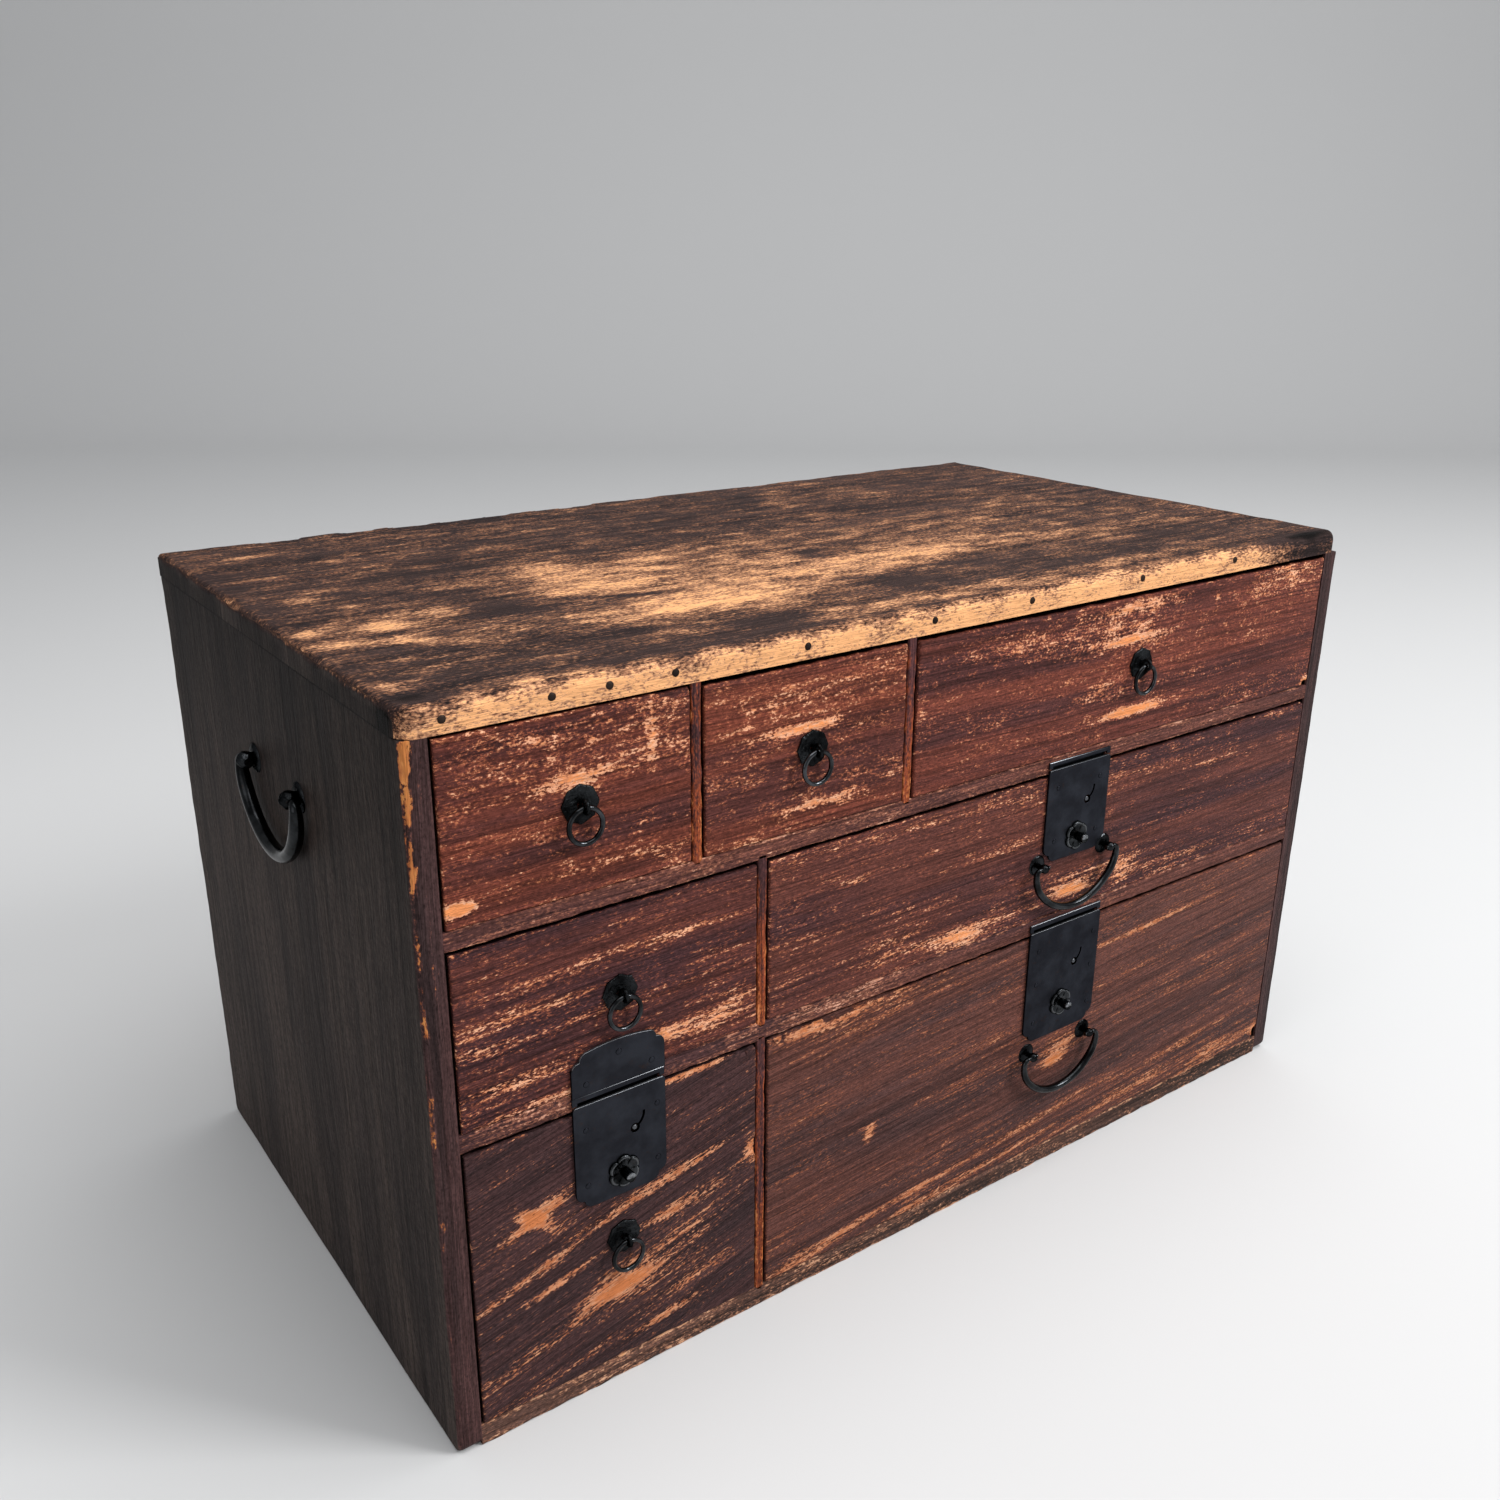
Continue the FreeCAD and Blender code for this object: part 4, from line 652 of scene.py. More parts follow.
FRONT_RUBBED = {
    "top_left": [(-250, 362, 60, 13, 0.5, 0), (-262, 347, 36, 3.6, 0.9, 2),
                 (-247, 341, 12, 7, 0.8, 0), (-208, 361, 2.4, 12, 0.9, 0),
                 (-235, 303, 45, 4, 0.55, 0), (-309, 299, 9, 3.4, 2.7, 0),
                 (-197, 297, 10, 4, 0.6, 0), (-280, 330, 25, 5, 0.4, 0)],
    "top_middle": [(-115, 366, 55, 11, 0.5, 0), (-117, 346, 24, 3.0, 1.4, 0),
                   (-72, 341, 20, 3, 0.6, 0), (-100, 303, 30, 3.6, 1.0, 0),
                   (-85, 330, 14, 2.4, 0.5, 0), (-160, 352, 14, 3, 0.5, 0)],
    "top_right": [(130, 372, 30, 3.6, 1.3, 0), (128, 352, 28, 3.0, 1.7, 0),
                  (132, 307, 30, 3.2, 2.0, 0), (125, 345, 40, 5, 0.5, 0),
                  (128, 360, 40, 6, 0.5, 0), (112, 330, 14, 10, 0.5, 0),
                  (10, 366, 55, 8, 0.42, 0), (285, 371, 30, 9, 0.85, 0),
                  (206, 364, 2.6, 9, 0.8, 0), (100, 321, 22, 3, 0.4, 0), (315, 293, 6, 4, 1.6, 0)],
    "middle_left": [(-225, 254, 62, 3.4, 0.85, 1), (-272, 239, 40, 3, 0.65, 1),
                    (-230, 225, 60, 3, 0.5, 1), (-290, 203, 30, 4, 0.6, 1),
                    (-214, 200, 46, 7, 0.85, 0), (-170, 235, 20, 3, 0.5, 1),
                    (-262, 188, 46, 2.6, 0.8, 0), (-160, 205, 12, 8, 0.5, 0)],
    "middle_right": [(-60, 252, 62, 3, 0.5, 1), (-90, 205, 50, 3.6, 0.6, 1),
                     (-2, 193, 20, 5.5, 1.3, 0), (-40, 198, 50, 3, 0.6, 0),
                     (92, 198, 15, 3.6, 2.0, 0), (100, 205, 30, 7, 0.6, 0),
                     (140, 202, 14, 7, 0.8, 0), (50, 240, 44, 3, 0.5, 1),
                     (220, 255, 60, 3.4, 0.5, 1), (165, 263, 40, 3, 0.5, 1),
                     (210, 195, 60, 3.6, 0.45, 1), (290, 276, 26, 3, 0.7, 0),
                     (-20, 272, 70, 3, 0.4, 0)],
    "bottom_left": [(-278, 124, 24, 4.6, 1.5, 21), (-282, 123, 16, 4.0, 1.4, -45),
                    (-280, 91, 46, 3.0, 1.2, 16), (-218, 111, 34, 3.5, 1.3, 13),
                    (-270, 78, 28, 2.8, 1.1, 12), (-206, 91, 18, 3.3, 1.2, 6),
                    (-234, 58, 18, 6, 1.55, 5), (-243, 58, 40, 9, 0.6, 9),
                    (-210, 26, 32, 3.2, 1.1, 8), (-180, 141, 26, 2.2, 0.7, 12),
                    (-262, 24, 44, 3.0, 0.85, 11), (-185, 44, 34, 2.6, 0.7, 10),
                    (-192, 72, 40, 10, 0.55, 9), (-200, 46, 50, 11, 0.45, 9),
                    (-150, 111, 4.5, 6, 1.4, 0), (-198, 172, 42, 2.0, 0.8, 0),
                    (-280, 42, 30, 2.6, 0.6, 14), (-180, 118, 24, 3, 0.6, 12)],
    "bottom_right": [(-88, 170, 56, 5, 1.0, 0), (-70, 160, 70, 9, 0.35, 0),
                     (-65, 84, 4, 7, 1.5, -20), (91, 76, 11, 4.2, 1.9, 8),
                     (96, 86, 20, 7, 0.8, 0), (-70, 24, 70, 2.8, 0.9, 5),
                     (20, 19, 90, 2.8, 0.9, 4), (80, 36, 62, 3.2, 0.85, 5),
                     (150, 22, 80, 4, 0.85, 4), (230, 41, 70, 3.4, 0.65, 4),
                     (264, 20, 50, 7, 0.6, 3), (180, 150, 62, 2.6, 0.8, 2),
                     (160, 118, 50, 2.2, 0.5, 3), (250, 144, 40, 2.2, 0.4, 3),
                     (272, 90, 30, 18, 0.3, 0), (314, 20, 5, 9, 1.2, 0), (-120, 16, 30, 3, 0.8, 5)],
}
FRONT_CHIPS = {
    "top_left": [(-317, 299, 11, 3.6, 0.7)],
    "top_middle": [],
    "top_right": [(317, 291, 7, 4.5, 3.2), (312, 380, 9, 2.2, 1.0)],
    "middle_left": [(-300, 186, 12, 2.0, 1.0)],
    "middle_right": [(-3, 186, 16, 3.0, 0.9), (310, 279, 10, 2.2, 1.4)],
    "bottom_left": [(-152, 174, 8, 2.6, 2.0), (-147, 110, 3.0, 6, 1.6)],
    "bottom_right": [(-124, 174, 14, 3.4, 2.4), (-92, 174, 18, 4.2, 2.8), (-58, 174, 16, 3.2, 2.0),
                     (317, 14, 7, 10, 3.4), (-20, 174, 14, 2.0, 1.2)],
}


def drawer_front(drawer, seed):
    """The show board of a drawer, with laps behind it for the sides and the bottom."""
    low, high = corners_of(drawer + "_drawer_front")
    uneven, nicks = ripple(seed, 50, 200), ripple(seed + 1, 5, 40)
    chips = FRONT_CHIPS[drawer]
    knob = LOCKS[drawer]["knob"][0] if drawer in LOCKS else None
    along_lines = [low[0] + LAP_WIDE, high[0] - LAP_WIDE]
    if knob:
        along_lines += [knob - BOLT_HALF, knob + BOLT_HALF]
    lap_top = high[2] - LAP_TOP

    def place(a, b, d):
        """The top edge is worn down and the left end planed back, and both fade quickly inwards."""
        up = ((b - low[2]) / (high[2] - low[2])) ** 12
        left = ((high[0] - a) / (high[0] - low[0])) ** 30
        worn_down = TOP_WORN_DOWN[drawer] * up * (1 + 0.12 * nicks(a, 0 * a))
        return a + LEFT_END_IN * left, low[1] + d, b - worn_down

    def face(a, b):
        rounds = [0.9 + 0.3 * nicks(a, b), 0.8 + 0.3 * nicks(a, b + 30),
                  0.8 + 0.3 * nicks(a, b + 60), 1.2 + 0.5 * nicks(a, b + 90)]
        rough = 1.2 * nicks(1.7 * a, 1.7 * b)
        return (np.clip(0.1 + 0.07 * uneven(a, b), 0, None)
                + fallen_edge(a, b, np.clip(rounds, 0.25, None))
                + split_away(chips, a + rough, b + rough))

    def rear(a, b):
        beside = ((a < low[0] + LAP_WIDE) | (a > high[0] - LAP_WIDE)) & (b < lap_top)
        lapped = beside | (b < low[2] + LAP_TALL)
        return np.where(lapped, FRONT_THICK - LAP_DEEP, FRONT_THICK)

    def carve(a, b, d):
        if not knob:
            return a, b, d
        slot = (abs(a - knob) < BOLT_HALF) & (b > high[2] - 0.01)
        slot = slot & (d > BOLT_SLOT[0] + 0.3) & (d < BOLT_SLOT[1] + 0.3)
        return a, b - BOLT_SLOT_DEEP * slot, d

    def wear(points):
        x, y, z = points.T
        gap = np.stack([x - low[0], high[0] - x, z - low[2], high[2] - z])
        # worn arrises, the top one most: its pale line is partly wear and partly a painted highlight
        edge = (np.exp(-gap / 0.8) * np.array([0.6, 0.3, 0.35, 1.0])[:, None]).max(0)
        bare = rubbed(FRONT_RUBBED[drawer], x, z) + edge * (1 + 0.5 * nicks(x, z))
        bare += 0.25 * (split_away(chips, x, z) > 0.25)
        # painted shade on the edges and laps behind the face, in the gaps round the drawer
        bare -= 1.2 * np.clip(y - low[1] - 1.3, 0, 1.5)
        if knob:
            made = LOCKS[drawer]
            # painted shade: the wood under each lock plate is darkened so that the keyhole shows black
            shade_under_plate = (abs(x - made["centre"]) < made["wide"] / 2 - 4) & (z > made["bottom"] + 12)
            bare = np.where(shade_under_plate, -2.0, bare)
        return bare

    rows = sorted([1.5, 2.4, 3.4, 11.0] + [s + k for s in BOLT_SLOT for k in (0.29, 0.31)])
    across_lines = [low[2] + LAP_TALL, lap_top]
    parts = board(spaced(low[0], high[0], 2.4, along_lines), spaced(low[2], high[2], 1.6, across_lines),
                  place, face, rear, rows, carve)
    row = drawer.split("_")[0]
    flake, cluster, rows_of_flakes = FRONT_FLAKES[row]
    coats = dict(zip(("coat", "shade", "thin"), FRONT_COATS[drawer]))
    finish = lacquered_cedar("cedar_red_brown_lacquered_" + drawer,
                             {**coats, **(LOWER_WOOD if row == "bottom" else UPPER_WOOD)},
                             FRONT_HOLD[row], flake, cluster, rows_of_flakes, (0.5, 0.28), 0.45)
    piece(drawer + "_front_board", [parts], finish, drawer + "_drawer",
          [drawer + "_drawer_front"],
          lies_along("xzy", GRAIN_TILT[drawer], (137 * seed, 53 * seed, 0)), wear)


for place_in_chest, drawer in enumerate(FRONT_RUBBED):
    drawer_front(drawer, 50 + 3 * place_in_chest)

# ------------------------------------------------------------------------------
# Drawer boxes and the case's back: thin cedar boards, planed and left bare. Two sides and a back
# stand on a bottom board, the sides lap the front, and the case's thin back is let into rebates.


def bare_cedar(name, early, late, dust):
    """Planed softwood with no finish: pale early wood, darker late wood, and grime in the pores.

    The eye sees straight bands a few millimetres wide, fine fibre between them and no shine.
    """
    material, tree = blank_material(name)
    grain = add(tree, "Attribute", {}, attribute_name="grain").outputs["Vector"]
    seen = {}
    sizes = {"ring": (800, 3.6, 3, 0.6), "fibre": (60, 0.7, 3, 0.65), "grime": (90, 35, 4, 0.6)}
    for what, (length, width, detail, rough) in sizes.items():
        stretch = add(tree, "VectorMath", {0: grain, 1: (1 / length, 1 / width, 1 / width)},
                      operation="MULTIPLY")
        seen[what] = add(tree, "TexNoise", {"Vector": stretch.outputs[0], "Scale": 1.0,
                                            "Detail": detail, "Roughness": rough}).outputs["Fac"]
    band = add(tree, "MapRange", {"Value": seen["ring"], "From Min": 0.38, "From Max": 0.62})
    timber = add(tree, "Mix", {"Factor": band.outputs[0], "A": linear(early), "B": linear(late)},
                 data_type="RGBA").outputs["Result"]
    hairs = add(tree, "MapRange", {"Value": seen["fibre"], "From Min": 0.35, "From Max": 0.65,
                                   "To Min": 0.82, "To Max": 1.1})
    timber = add(tree, "VectorMath", {0: timber, "Scale": hairs.outputs[0]},
                 operation="SCALE").outputs[0]
    soiled = add(tree, "MapRange", {"Value": seen["grime"], "From Min": 0.45, "From Max": 0.75,
                                    "To Max": 0.55})
    timber = add(tree, "Mix", {"Factor": soiled.outputs[0], "A": timber, "B": linear(dust)},
                 data_type="RGBA").outputs["Result"]
    bump = add(tree, "Bump", {"Height": seen["fibre"], "Distance": 0.25 * MM, "Strength": 0.7})
    surface = add(tree, "BsdfPrincipled", {"Base Color": timber, "Roughness": 0.8,
                                           "Normal": bump.outputs[0], "IOR": 1.5})
    add(tree, "OutputMaterial", {"Surface": surface.outputs[0]})
    return material


def rounded_block(low, high, radius, segments=3):
    """A box with every arris rounded: a rounded rectangle in y and z, carried along x and drawn in
    by a quarter circle at both ends."""
    low, high = np.array(low, float), np.array(high, float)
    swing = np.linspace(0, np.pi / 2, segments + 1)
    inset = radius * (1 - np.sin(swing))
    along = np.concatenate([low[0] + radius * (1 - np.cos(swing)),
                            (high[0] - radius * (1 - np.cos(swing)))[::-1]])
    drawn = np.concatenate([inset, inset[::-1]])[:, None]
    corner = np.concatenate([quarter * np.pi / 2 + swing for quarter in range(4)])[None]
    centre, half = (low + high) / 2, (high - low) / 2
    side_y = np.repeat([1, -1, -1, 1], segments + 1)[None]
    side_z = np.repeat([1, 1, -1, -1], segments + 1)[None]
    local = np.clip(radius - drawn, 0.05 * radius, None)
    y = centre[1] + side_y * (half[1] - drawn - local) + local * np.cos(corner)
    z = centre[2] + side_z * (half[2] - drawn - local) + local * np.sin(corner)
    points = np.stack([np.broadcast_to(along[:, None], y.shape), y, z], -1)
    index = np.arange(y.size).reshape(y.shape)
    return points.reshape(-1, 3), [between(index), index[:1, ::-1], index[-1:]]


box_cedar = bare_cedar("cedar_planed_bare", early="#b08a5c", late="#8f6a41", dust="#6e563c")
BOARD_ARRIS = 0.6


def drawer_box(drawer, seed):
    """The sides and back of a drawer, and the bottom board that they stand on."""
    low, high = corners_of(drawer + "_drawer_box")
    shift = (61 * seed, 47 * seed, 13 * seed)
    left = rounded_block(low, (low[0] + LAP_WIDE, high[1], high[2]), BOARD_ARRIS)
    right = rounded_block((high[0] - LAP_WIDE, low[1], low[2]), high, BOARD_ARRIS)
    back = rounded_block((low[0] + LAP_WIDE, high[1] - LAP_WIDE, low[2]),
                         (high[0] - LAP_WIDE, high[1], high[2]), BOARD_ARRIS)

    def grain(points):
        x, y, z = points.T
        inside = (x > low[0] + LAP_WIDE - 0.01) & (x < high[0] - LAP_WIDE + 0.01)
        is_back = inside & (y > high[1] - LAP_WIDE - 0.01)
        run_x, run_y = lies_along("xzy", 0, shift)(points), lies_along("yzx", 0, shift)(points)
        return np.where(is_back[:, None], run_x, run_y)

    piece(drawer + "_box_boards", [left, right, back], box_cedar, drawer + "_drawer",
          [drawer + "_drawer_box"], grain)
    floor_low, floor_high = corners_of(drawer + "_drawer_bottom")
    floor_board = rounded_block(floor_low, floor_high, BOARD_ARRIS)
    piece(drawer + "_bottom_board", [floor_board], box_cedar, drawer + "_drawer",
          [drawer + "_drawer_bottom"], lies_along("xyz", 0, (29 * seed, 83 * seed, 5)))


for number, drawer in enumerate(FRONT_RUBBED):
    drawer_box(drawer, 3 + number)

back_cedar = bare_cedar("cedar_aged_bare_back", early="#7c6047", late="#5d4634", dust="#463629")
back_low, back_high = corners_of("back_board")
back_uneven = ripple(47, 60, 300)
back_parts = board(spaced(back_low[0], back_high[0], 6), spaced(back_low[2], back_high[2], 6),
                   lambda a, b, d: (a, back_high[1] - d, b),
                   lambda a, b: (np.clip(0.3 + 0.2 * back_uneven(a, b), 0.1, None)
                                 + fallen_edge(a, b, [0.6] * 4)),
                   lambda a, b: 0 * a + (back_high[1] - back_low[1]), (2, 5))
piece("back_boarding", [back_parts], back_cedar, "case", ["back_board"],
      lies_along("xzy", 0, (0, 700, 0)))

# ------------------------------------------------------------------------------
# Nails along the lid's front edge: hand-cut iron, driven home, with heads that rust has turned
# brown and wear has left a little proud.


def capped(rings, poles_from):
    """The wall between rings of point numbers, and a fan at each end from its pole's number."""
    ahead = np.roll(rings, -1, 1)
    first, last = np.full(rings.shape[1], poles_from), np.full(rings.shape[1], poles_from + 1)
    return [between(rings, True), np.stack([first, ahead[0], rings[0]], -1),
            np.stack([last, rings[-1], ahead[-1]], -1)]


def turned(radii, heights, sides, radial=None, axial=None):
    """A profile of radii and heights carried once round the +Z axis.

    A profile that starts and ends on the axis is closed by its two poles, and one that doesn't is
    closed on itself, like a washer. radial scales the radius and axial adds to the height, both
    from (angle, radius, height).
    """
    angle = np.arange(sides) * 2 * np.pi / sides
    r, t = np.meshgrid(np.array(radii, float), angle, indexing="ij")
    h = np.broadcast_to(np.array(heights, float)[:, None], r.shape)
    scale = radial(t, r, h) if radial else 1.0
    lift = axial(t, r * scale, h) if axial else 0.0
    points = np.stack([r * scale * np.cos(t), r * scale * np.sin(t), h + lift], -1)
    index = np.arange(r.size).reshape(r.shape)
    if radii[0] > 0:
        return points.reshape(-1, 3), [between(np.concatenate([index, index[:1]]), True)]
    flat = points[1:-1].reshape(-1, 3)
    poles = np.stack([points[0].mean(0), points[-1].mean(0)])
    return np.concatenate([flat, poles]), capped(index[:-2], len(flat))


def aimed(part, base, towards):
    """A part made on +Z, stood on a base and turned so that its axis points another way."""
    points, faces = part
    axis = np.array(towards, float) / np.linalg.norm(towards)
    side = np.cross((0, 0, 1), axis)
    side = side / np.linalg.norm(side)
    return points @ np.stack([side, np.cross(axis, side), axis]) + np.array(base, float), faces


def forged_iron(name, dark, bright, rough, dent_size, dent, sheen=0.45, rust="#3a2a22",
                rust_share=0.12):
    """Wrought iron, hammered, blackened in oil and rubbed bright where it is handled.

    The eye sees dark metal with soft broad highlights, small hammer dents of dent_size
    millimetres, scratches and a little rust in the hollows. The wear attribute paints light on top:
    above zero it mixes in bright metal as a painted highlight on edges, and below zero it darkens the
    metal as painted shade in seams, holes and round nails. sheen is what is left of the glare at a
    glancing angle.
    """
    material, tree = blank_material(name)
    place = add(tree, "TexCoord", {}).outputs["Object"]
    sizes = {"cloud": (14, 3, 0.6), "dent": (dent_size, 2, 0.5), "grit": (0.5, 3, 0.6),
             "rust": (5, 5, 0.7)}
    seen = {}
    for what, (size, detail, roughness) in sizes.items():
        seen[what] = add(tree, "TexNoise", {"Vector": place, "Scale": 1 / (size * MM),
                                            "Detail": detail, "Roughness": roughness}).outputs["Fac"]
    tone = add(tree, "MapRange", {"Value": seen["cloud"], "From Min": 0.38, "From Max": 0.66})
    metal = add(tree, "Mix", {"Factor": tone.outputs[0], "A": linear(dark), "B": linear(bright)},
                data_type="RGBA").outputs["Result"]
    stain = add(tree, "MapRange", {"Value": seen["rust"], "From Min": 0.60, "From Max": 0.74,
                                   "To Max": rust_share * 4}).outputs[0]
    metal = add(tree, "Mix", {"Factor": stain, "A": metal, "B": linear(rust)},
                data_type="RGBA").outputs["Result"]
    dull = add(tree, "MapRange", {"Value": seen["cloud"], "From Min": 0.3, "From Max": 0.7,
                                  "To Min": rough + 0.07, "To Max": rough - 0.05})
    relief = add(tree, "Math", {0: seen["grit"], 1: 0.12, 2: seen["dent"]}, operation="MULTIPLY_ADD")
    bump = add(tree, "Bump", {"Height": relief.outputs[0], "Distance": dent * MM, "Strength": 1.0})
    # painted highlight and painted shade: wear above zero mixes in bright metal, wear below zero
    # darkens the metal
    worn = add(tree, "Attribute", {}, attribute_name="wear").outputs["Fac"]
    metal = add(tree, "Mix", {"Factor": worn, "A": metal, "B": linear("#9da0a4")},
                data_type="RGBA").outputs["Result"]
    soot = add(tree, "MapRange", {"Value": worn, "From Min": -1.0, "From Max": 0.0, "To Min": 0.05})
    metal = add(tree, "VectorMath", {0: metal, "Scale": soot.outputs[0]}, operation="SCALE").outputs[0]
    surface = add(tree, "BsdfPrincipled", {"Base Color": metal, "Roughness": dull.outputs[0],
                                           "Normal": bump.outputs[0], "Metallic": 1.0,
                                           "Specular Tint": (sheen, sheen, sheen, 1.0)})
    add(tree, "OutputMaterial", {"Surface": surface.outputs[0]})
    return material


nail_iron = forged_iron("iron_nail_rusted", "#2a2422", "#3a302b", rough=0.62, dent_size=1.2,
                        dent=0.25, rust="#4a2c1e", rust_share=0.2)


def nail_head(at, seed, wide=2.1, rise=0.7):
    """A hand-made head facing forward: a low dome, a little out of round."""
    lumpy = ripple(seed, 1.5, 5, 8)
    t = np.linspace(0, np.pi / 2, 6)
    head = turned(np.concatenate([[0, 0.9 * wide], wide * np.cos(t[:-1]), [0]]),
                  np.concatenate([[-0.6, -0.6], rise * np.sin(t)]), 20,
                  lambda t, r, h: 1 - 0.05 * np.abs(lumpy(2 * np.cos(t), 2 * np.sin(t))))
    return aimed(head, at, (0, -1, 0))


LID_NAILS = ((-310.0, 387.6), (-258.5, 387.9), (-229.5, 387.9), (-194.5, 387.7), (-117.3, 387.7),
             (-33.0, 388.1), (39.5, 388.5), (132.0, 388.8), (219.0, 388.8))
lid_heads = [nail_head((x, lid_low[1], z), 70 + k) for k, (x, z) in enumerate(LID_NAILS)]
piece("lid_nail_heads", lid_heads, nail_iron, "case", ["case_nails"])

# ------------------------------------------------------------------------------
# Five ring pulls: an eight-sided plate cut and hammered from sheet, a split pin whose eye holds the
# ring and whose legs are clinched inside the drawer, and a ring forged from round bar.

plate_iron = forged_iron("iron_sheet_hammered_black", "#121314", "#2e3032", rough=0.32,
                         dent_size=1.8, dent=0.9)
ring_iron = forged_iron("iron_bar_rubbed", "#1e1f20", "#46484b", rough=0.15, dent_size=3.0,
                        dent=0.10, sheen=1.0)
PULL_FLATS = 18.5
PULL_THICK = 1.2
PIN_WIRE = 0.95
PIN_EYE = 2.9
PIN_LEG = 1.0
PIN_NECK = 1.5
PIN_CLINCH = 8.0
EYE_ABOVE_RING = 9.2
DRAWER_FACE = -184.3


def arc(centre, radius, first, last, count):
    """Points of a circle between two angles in degrees, both ends included."""
    t = np.radians(np.linspace(first, last, count))
    return np.stack([centre[0] + radius * np.cos(t), centre[1] + radius * np.sin(t)], -1)


def bent_bar(path, radius, lie, sides=20, closed=False):
    """A round bar along a flat path: circles square to the path, whose radius may change.

    lie turns (u, w, out of plane) into points. An open bar ends in a low dome at each end.
    """
    path, radius = np.array(path, float), np.broadcast_to(radius, len(path)).astype(float)
    if closed:
        heading = np.roll(path, -1, 0) - np.roll(path, 1, 0)
    else:
        heading = np.gradient(path, axis=0)
    heading = heading / np.linalg.norm(heading, axis=1)[:, None]
    square = np.stack([-heading[:, 1], heading[:, 0]], -1)
    t = np.arange(sides) * 2 * np.pi / sides
    flat = path[:, None] + square[:, None] * (radius[:, None] * np.cos(t))[..., None]
    out = radius[:, None] * np.sin(t)
    points = np.stack(lie(flat[..., 0], flat[..., 1], out), -1).reshape(-1, 3)
    index = np.arange(out.size).reshape(out.shape)
    if closed:
        return points, [between(np.concatenate([index, index[:1]]), True)]
    dome = heading * radius[:, None] * 0.3
    tips = np.stack([path[0] - dome[0], path[-1] + dome[-1]])
    tips = np.stack(lie(tips[:, 0], tips[:, 1], 0 * tips[:, 0]), -1)
    return np.concatenate([points, tips]), capped(index, len(points))


def pin_path():
    """One wire as (depth from the drawer's face, height): clinched tip, leg, neck, eye and back."""
    reach = math.sqrt((PIN_EYE + PIN_NECK) ** 2 - (PIN_LEG + PIN_NECK) ** 2)
    eye = -PULL_THICK - reach
    lean = math.degrees(math.atan2(PIN_LEG + PIN_NECK, reach))
    clinch = FRONT_THICK + PIN_WIRE + 0.02
    bend = clinch - FRONT_THICK
    leg = arc((FRONT_THICK, PIN_LEG + bend), bend, -90, 0, 6)
    tip = np.array([[clinch, PIN_LEG + bend + PIN_CLINCH]])
    neck = arc((-PULL_THICK, PIN_LEG + PIN_NECK), PIN_NECK, -90, -90 - (90 - lean), 8)
    half_eye = arc((eye, 0), PIN_EYE, lean, 180, 22)
    upper = np.concatenate([tip, leg[::-1], neck, half_eye])
    lower = upper[::-1][1:] * np.array([1, -1])
    return np.concatenate([upper, lower])


def ring_pull(drawer, seed):
    """The plate and its split pin, fixed to the drawer, and the ring that swings in it."""
    low, high = corners_of(drawer + "_ring")
    wire = (high[1] - low[1]) / 2
    centre = (low + high) / 2
    big = (high[0] - low[0]) / 2 - wire
    x, z = centre[0], centre[2] + EYE_ABOVE_RING
    beaten = ripple(seed, 3.5, 9, 16)
    flat = PULL_FLATS / 2

    def eight_sided(t, r, h):
        past = np.mod(t, np.pi / 4) - np.pi / 8
        outline = 1 / np.cos(past) * (1 - 0.012 * np.abs(beaten(9 * np.cos(t), 9 * np.sin(t))))
        return np.where(r > 2.5, outline * (r / flat) + (1 - r / flat), 1.0)

    def dented(t, r, h):
        dents = np.clip(beaten(r * np.cos(t), r * np.sin(t)), -1.2, 1.1)
        return np.where(h < 0.05, 0, -0.10 + 0.09 * dents)

    radii = [2.0, 2.0, 3.2, 4.4, 5.6, 6.8, 7.8, 8.6, flat - 0.3, flat - 0.05, flat]
    heights = [0, 1.0, 1.15, 1.2, 1.2, 1.2, 1.2, 1.18, 1.05, 0.8, 0]
    plate = aimed(turned(radii, heights, 96, eight_sided, dented), (x, DRAWER_FACE, z), (0, -1, 0))
    pin = bent_bar(pin_path(), PIN_WIRE, lambda u, w, out: (x + out, DRAWER_FACE + u, z + w))
    piece(drawer + "_pull_plate", [plate, pin], plate_iron, drawer + "_drawer",
          [drawer + "_ring_mount"])
    worked = ripple(seed + 1, 4, 14, 10)
    rim = arc((0, 0), big, 0, 360 * 95 / 96, 96)
    section = wire * (1 - 0.035 * np.abs(worked(rim[:, 0], rim[:, 1])))
    hoop = bent_bar(rim, section, lambda u, w, out: (x + u, centre[1] + out, centre[2] + w), 24, True)
    piece(drawer + "_pull_ring", [hoop], ring_iron, drawer + "_ring",
          [drawer + "_ring"])


for number, drawer in enumerate(("top_left", "top_middle", "top_right", "middle_left", "bottom_left")):
    ring_pull(drawer, 80 + 2 * number)

# ------------------------------------------------------------------------------
# Three locks: a plate of sheet iron, filed at the edge, with stepped lower corners, a keyhole with
# a curling tail, and nails. Behind it a bolt slides in two straps, moved by a stud in a flower of
# six petals. Each has a folded strike plate in the shelf above, and over the left one is a plaque.

lock_iron = forged_iron("iron_sheet_filed_black", "#26272c", "#303238", rough=0.38,
                        dent_size=9.0, dent=0.25)
knob_iron = forged_iron("iron_knob_rubbed", "#111213", "#3a3c3e", rough=0.24, dent_size=1.6,
                        dent=0.3)
LOCK_THICK = 1.6
LOCK_STEP = 4.6
LOCK_ROUND = 2.0
KEYHOLE = 2.6
TAIL = 8.3
TAIL_HALF = 0.6
FILED = 0.28


